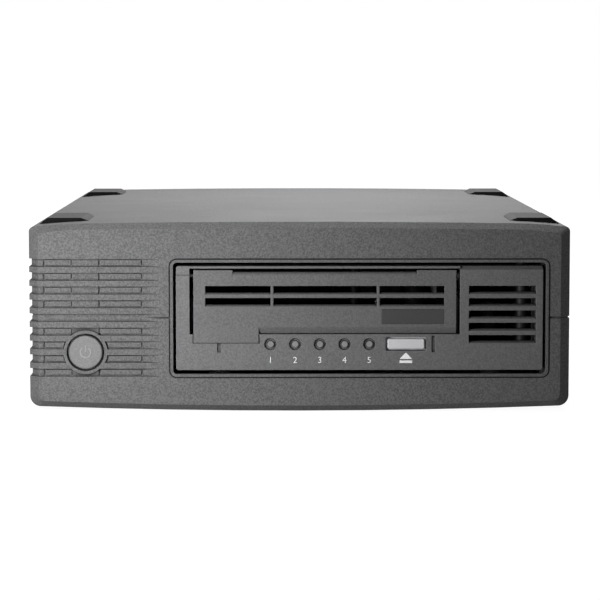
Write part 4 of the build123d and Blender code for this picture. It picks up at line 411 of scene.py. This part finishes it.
def clear_plastic(name, color, transmission):
    """Clear moulded plastic with faint flow marks, and a painted shadow on the rim round each light."""
    flow_depth = 0.00002
    flow_dark, flow_pale = 0.9, 1.1
    smooth, dull = 0.12, 0.22
    rim_shadow_color = (0.01, 0.01, 0.01, 1)
    material, t, shader = new_material(name)
    place = t.place()
    flow = t.noise(place, 350.0)
    marked = t.mix(t.contrast(flow), shade(color, flow_dark), shade(color, flow_pale))
    # Painted shadow on the rim of each lens.
    toned = t.mix(light_rims(t, place), rim_shadow_color, marked)
    rough = t.contrast(flow, smooth, dull)
    t.feed(shader, Base_Color=toned, Roughness=rough, Normal=t.bump(Distance=flow_depth, Height=flow))
    shader.inputs["Transmission Weight"].default_value = transmission
    shader.inputs["IOR"].default_value = 1.49
    return material


def pad_plastic(name, top_color, wall_shade_color):
    """Pads with grained tops, darker than the case, and steep walls painted nearly black as shade."""
    steep, level = 0.3, 0.7
    speckle = 0.3
    wall_roughness = 0.8
    top_roughness = 0.7
    material, t, shader = new_material(name)
    edges = t.group(soft_edges, Radius=0.0003)
    grain = t.group(moulded_grain, Scale=1100.0, Depth=0.00016, Normal=edges.outputs["Normal"])
    face = t.add("ShaderNodeSeparateXYZ")
    t.link(t.add("ShaderNodeNewGeometry").outputs["True Normal"], face.inputs[0])
    # Painted shade: steep walls nearly black, level tops in the pad's own colour.
    up = t.spread(face.outputs["Z"], steep, level)
    toned = t.mix(grain.outputs["Grain"], shade(top_color, 1 - speckle), shade(top_color, 1 + speckle))
    rough = t.spread(up, 0.0, 1.0, wall_roughness, top_roughness)
    t.feed(shader, Base_Color=t.mix(up, wall_shade_color, toned), Roughness=rough, Normal=grain.outputs["Normal"])
    shader.inputs["Specular IOR Level"].default_value = 0.12
    return material


# Materials of this object

# Settings shared by the front pieces, with paler edges that are partly painted highlight, and painted shade
# in their creases.
front_finish = dict(
    roughness=0.55, depth=0.0001, speckle=0.24, wear_and_highlight=0.9, radius=0.0004, specular=0.3, painted_shade_reach=0.0015
)
print_finish = dict(roughness=0.5, depth=0.00001, speckle=0.05, wear_and_highlight=0.0)
plastics = {
    # The case: paler edges partly as painted highlight, and painted shade in its creases.
    "case_plastic": dict(
        color=(0.105, 0.105, 0.107), roughness=0.66, depth=0.00015, speckle=0.34, wear_and_highlight=0.5, specular=0.18,
        painted_shade_reach=0.002,
    ),
    "bezel_plastic": dict(color=(0.107, 0.107, 0.109), **front_finish),
    "door_plastic": dict(color=(0.092, 0.092, 0.094), **front_finish),
    "button_plastic": dict(color=(0.108, 0.108, 0.11), roughness=0.5, depth=0.00009, speckle=0.2),
    "light_plastic": dict(color=(0.53, 0.53, 0.54), roughness=0.45, speckle=0.04, wear_and_highlight=0.1),
    "label_plate": dict(color=(0.02, 0.02, 0.021), roughness=0.45, depth=0.00004, speckle=0.1, wear_and_highlight=0.2),
    "rubber": dict(
        color=(0.03, 0.03, 0.03), roughness=0.85, scale=900.0, speckle=0.3, wear_and_highlight=0.1, specular=0.25
    ),
    "black_plastic": dict(color=(0.03, 0.03, 0.032), roughness=0.45, speckle=0.2, wear_and_highlight=0.3),
    "gear_plastic": dict(color=(0.72, 0.71, 0.67), roughness=0.4, depth=0.00002, speckle=0.04, wear_and_highlight=0.0),
    "reel_plastic": dict(color=(0.5, 0.5, 0.51), roughness=0.38, depth=0.00002, speckle=0.05, wear_and_highlight=0.0),
    "head_ceramic": dict(color=(0.2, 0.2, 0.22), roughness=0.2, depth=0.00001, speckle=0.1, wear_and_highlight=0.2),
    # Painted shade: black for inner pieces seen through the slots and gaps, and for the film over the drive's
    # rear.
    "shadow_black": dict(color=(0.012, 0.012, 0.012), roughness=0.6, speckle=0.2, wear_and_highlight=0.1, specular=0.2),
    "white_print": dict(color=(0.85, 0.85, 0.85), **print_finish),
    # Painted highlight: the power sign's raised relief, made paler than the button's plastic.
    "pale_print": dict(color=(0.2, 0.2, 0.2), **print_finish),
}
metals = {
    "zinc_steel": dict(color=(0.55, 0.55, 0.57), roughness=0.38, spangle=0.35),
    "screw_steel": dict(color=(0.35, 0.35, 0.36), roughness=0.32, scale=1800.0),
    "spring_steel": dict(color=(0.45, 0.45, 0.46), roughness=0.28, stretch=(0.1, 1.0, 1.0)),
    "cast_aluminium": dict(color=(0.6, 0.6, 0.61), roughness=0.5, scale=700.0, depth=0.00008),
    "magnet": dict(color=(0.6, 0.6, 0.61), roughness=0.18, scale=1500.0),
    # Painted shade: black metal for inner pieces seen through the slots, in place of their bare metal.
    "black_coat": dict(color=(0.03, 0.03, 0.031), roughness=0.5, scale=700.0, depth=0.00004),
}
windings = {
    "coil_copper": dict(
        color=(0.62, 0.28, 0.12, 1), gap_color=(0.2, 0.07, 0.03, 1), pitch=0.0004, roughness=0.35,
        metallic=0.9,
    ),
    "transformer": dict(
        color=(0.6, 0.46, 0.1, 1), gap_color=(0.42, 0.3, 0.06, 1), pitch=0.0045, roughness=0.4, metallic=0.0
    ),
}
materials = {
    "board": circuit_board("board"),
    "capacitor": sleeve("capacitor"),
    "lens": clear_plastic("lens", color=(0.22, 0.22, 0.22), transmission=0.1),
    "led": clear_plastic("led", color=(0.5, 0.55, 0.48), transmission=0.4),
    "pad_plastic": pad_plastic(
        "pad_plastic", top_color=(0.05, 0.05, 0.051), wall_shade_color=(0.008, 0.008, 0.008, 1)
    ),
}
for maker, looks in ((plastic, plastics), (metal, metals), (wound, windings)):
    for name, look in looks.items():
        materials[name] = maker(name, **look)

for part in record["subparts"]:
    nodes[part["node"]].material_slots[0].material = materials[part["material_slot"]]


# Nodes with another look than their slot's own: the pads, with painted shade on their walls, and inner pieces
# painted black as shade behind the slots

guide_rollers = [f"guide_roller_{number}" for number in range(1, 5)]
shade_painted_finishes = {
    "pad_plastic": ["stacking_pads"],
    "shadow_black": [
        "door_hinge_pin", "door_spring", "drive_screws", "loader_gear", "motor_pinion", "take_up_reel",
        "head_frame", "threading_arm", *guide_rollers,
    ],
    "black_coat": [
        "drive_base", "loader_tray", "loader_slider", "loader_motor", "drive_cradle", "roller_posts",
        "drive_cover",
    ],
}
for finish, node_names in shade_painted_finishes.items():
    for node_name in node_names:
        nodes[node_name].material_slots[0].material = materials[finish]


# Piece helpers

def add_object(name, data):
    thing = bpy.data.objects.new(name, data)
    scene.collection.objects.link(thing)
    return thing


def mesh_piece(name, mesh, body, material):
    """Turns a bmesh into a piece that rides on a body."""
    data = bpy.data.meshes.new(name)
    mesh.to_mesh(data)
    mesh.free()
    data.materials.append(material)
    piece = add_object(name, data)
    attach(piece, body)


def flat_piece(name, outlines, origin, thickness, body, material):
    """An upright plate that faces the front, cut to outlines given across and up from the origin."""
    mesh = bmesh.new()
    for outline in outlines:
        corners = [mesh.verts.new(origin + Vector((across, 0, up))) for across, up in outline]
        face = mesh.faces.new(corners)
        for item in bmesh.ops.extrude_face_region(mesh, geom=[face])["geom"]:
            if isinstance(item, bmesh.types.BMVert):
                item.co += FRONT * thickness
    bmesh.ops.recalc_face_normals(mesh, faces=mesh.faces)
    mesh_piece(name, mesh, body, material)


def rectangle(left, bottom, right, top):
    return [(left, bottom), (right, bottom), (right, top), (left, top)]


def arc_band(radius, width, start, end, steps):
    """The outline of a ring's part between two angles in degrees."""
    angles = [math.radians(start + (end - start) * step / steps) for step in range(steps + 1)]
    outer = [((radius + width / 2) * math.cos(a), (radius + width / 2) * math.sin(a)) for a in angles]
    inner = [((radius - width / 2) * math.cos(a), (radius - width / 2) * math.sin(a)) for a in angles]
    return outer + inner[::-1]


# Power button spring, copied with a mesh of its own that rides on the case; nothing here shortens it as the
# button goes in

spring = nodes["button_spring"]
coil = add_object("button_spring_coil", spring.data.copy())
coil.matrix_world = spring.matrix_world
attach(coil, "case")
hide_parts("button_spring")
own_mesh(coil)


# Power sign, a ring open at the top with a bar in its gap, raised a little and painted paler as highlight on
# its relief

power_stroke = 0.0006
power_relief_height = 0.00006
ring_radius = 0.0021
ring_start, ring_end = 125, 415
ring_steps = 40
bar_bottom, bar_top = 0.0002, 0.0028
button_low, button_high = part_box("power_button")
button_middle = (button_low + button_high) / 2
button_centre = Vector((button_middle.x, button_low.y, button_middle.z))
flat_piece(
    "power_sign",
    [
        arc_band(ring_radius, power_stroke, ring_start, ring_end, ring_steps),
        rectangle(-power_stroke / 2, bar_bottom, power_stroke / 2, bar_top),
    ],
    button_centre, power_relief_height, "power_button", materials["pale_print"],
)


# Eject sign, an arrowhead over a bar, under the eject button

eject_print = 0.00004
eject_half_width = 0.0026
eject_bar_bottom, eject_bar_top = 0.0202, 0.0213
arrow_bottom, arrow_top = 0.0219, 0.0246
bezel_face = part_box("drive_bezel")[0].y
eject_low, eject_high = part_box("eject_button")
flat_piece(
    "eject_sign",
    [
        [(-eject_half_width, arrow_bottom), (eject_half_width, arrow_bottom), (0.0, arrow_top)],
        rectangle(-eject_half_width, eject_bar_bottom, eject_half_width, eject_bar_top),
    ],
    Vector(((eject_low.x + eject_high.x) / 2, bezel_face, 0)), eject_print, "case",
    materials["white_print"],
)


# Film over the open rear of the drive's base, right of its connector: it stands for the closed rear wall and
# is painted black as shade

film_thickness = 0.0004
base_low, base_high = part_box("drive_base")
connector_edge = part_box("drive_connector")[1].x
flat_piece(
    "drive_rear_film",
    [rectangle(connector_edge, base_low.z, base_high.x, base_high.z)],
    Vector((0, base_high.y + film_thickness, 0)), film_thickness, "case",
    materials["shadow_black"],
)


# Numerals under the lights

numeral_height = 0.0026
numeral_middle = 0.0216
numeral_print = 0.00002
font_size_per_height = 1.4
led_radius = 0.001


def printed_numbers(name, places):
    """Plain numerals 1, 2, 3 ... centred on the given places along the bezel's face."""
    joined = bmesh.new()
    for number, x in enumerate(places, start=1):
        curve = bpy.data.curves.new(f"{name}_{number}", "FONT")
        curve.body = str(number)
        curve.size = numeral_height * font_size_per_height
        curve.align_x = "CENTER"
        curve.extrude = numeral_print
        glyph = add_object(f"{name}_{number}", curve)
        glyph.location = (x, bezel_face - numeral_print, numeral_middle - numeral_height / 2)
        glyph.rotation_euler = (math.pi / 2, 0, 0)
        bpy.context.view_layer.update()
        outline = bpy.data.meshes.new_from_object(glyph)
        outline.transform(glyph.matrix_world)
        joined.from_mesh(outline)
        bpy.data.objects.remove(glyph)
        bpy.data.meshes.remove(outline)
    mesh_piece(name, joined, "case", materials["white_print"])


led_low, led_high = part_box("status_leds")
led_pitch = (led_high.x - led_low.x - 2 * led_radius) / (LIGHTS - 1)
printed_numbers("light_numbers", [led_low.x + led_radius + step * led_pitch for step in range(LIGHTS)])


# Stage

def background_rays(t):
    """1 for rays that show the background: from the camera, off gloss and through glass."""
    path = t.add("ShaderNodeLightPath")
    seen = t.math("MAXIMUM", path.outputs["Is Camera Ray"], path.outputs["Is Glossy Ray"])
    return t.math("MAXIMUM", seen, path.outputs["Is Transmission Ray"])


def pick_by_ray(t, plain, background, output_kind):
    """Shows the background shader to the rays that look for it, and the plain one to all others."""
    pick = t.add("ShaderNodeMixShader")
    t.link(background_rays(t), pick.inputs[0])
    t.link(plain, pick.inputs[1])
    t.link(background, pick.inputs[2])
    t.link(pick.outputs[0], t.add(output_kind).inputs[0])


def stage_material(name):
    """White to the camera, in gloss and through glass; its own shadow stays."""
    grey = (0.2, 0.2, 0.2, 1)
    near, far = 0.35, 1.1
    near_glow, far_glow = 0.95, 1.0
    material, t = empty_material(name)
    reach = t.add("ShaderNodeVectorMath", operation="LENGTH")
    t.link(t.place(), reach.inputs[0])
    strength = t.spread(reach.outputs["Value"], near, far, near_glow, far_glow)
    diffuse = t.feed(t.add("ShaderNodeBsdfDiffuse"), Color=grey).outputs[0]
    glow = t.feed(t.add("ShaderNodeEmission"), Color=WHITE, Strength=strength).outputs[0]
    added = t.add("ShaderNodeAddShader")
    t.link(diffuse, added.inputs[0])
    t.link(glow, added.inputs[1])
    pick_by_ray(t, diffuse, added.outputs[0], "ShaderNodeOutputMaterial")
    return material


floor_reach = 6.0
floor_gap = 0.00005
grid = bmesh.new()
bmesh.ops.create_grid(grid, x_segments=2, y_segments=2, size=floor_reach)
floor_data = bpy.data.meshes.new("floor")
grid.to_mesh(floor_data)
grid.free()
floor_data.materials.append(stage_material("stage_white"))
floor = add_object("floor", floor_data)
floor.location.z = cad_box[0][2] - floor_gap


# World

soft_strength = 0.035
white_strength = 1.0
world = bpy.data.worlds.new("studio")
scene.world = world
world.use_nodes = True
world.node_tree.nodes.clear()
sky = Tree(world.node_tree)
soft = sky.feed(sky.add("ShaderNodeBackground"), Color=WHITE, Strength=soft_strength)
white = sky.feed(sky.add("ShaderNodeBackground"), Color=WHITE, Strength=white_strength)
pick_by_ray(sky, soft.outputs[0], white.outputs[0], "ShaderNodeOutputWorld")


# Lamps

def softbox(name, place, target, size, power):
    """A rectangular lamp at a place, turned to its target and unseen by the camera."""
    data = bpy.data.lights.new(name, "AREA")
    data.shape = "RECTANGLE"
    data.size, data.size_y = size
    data.energy = power
    lamp = add_object(name, data)
    lamp.location = place
    lamp.rotation_euler = (Vector(target) - Vector(place)).to_track_quat("-Z", "Y").to_euler()
    lamp.visible_camera = False


softbox("key", place=(-0.13, -0.355, 0.07), target=(-0.1, -0.15, 0.03), size=(0.1, 0.1), power=0.8)
softbox("top", place=(0.018, 0.1, 0.27), target=(0.01, 0.09, 0.07), size=(0.1, 0.1), power=0.62)
softbox("edge", place=(0.0, -0.11, 0.6), target=(0.0, -0.13, 0.07), size=(0.4, 0.06), power=1.3)
for side, sign in (("left", -1), ("right", 1)):
    softbox(side, place=(sign, 0.5, 0.35), target=(sign * 0.11, 0.0, 0.04), size=(0.5, 0.5), power=0.8)
softbox("back", place=(0.1, 0.95, 1.1), target=(0.0, 0.15, 0.04), size=(0.7, 0.5), power=5.0)


# Camera

camera_place = Vector((-0.008, -1.161, 0.138))
camera_target = Vector((0.0001, -0.1509, 0.0462))
camera_data = bpy.data.cameras.new("camera")
camera_data.sensor_width = 36.0
camera_data.lens = 149.2
camera = add_object("camera", camera_data)
camera.location = camera_place
camera.rotation_euler = (camera_target - camera_place).to_track_quat("-Z", "Y").to_euler()
scene.camera = camera
scene.view_settings.view_transform = "Standard"
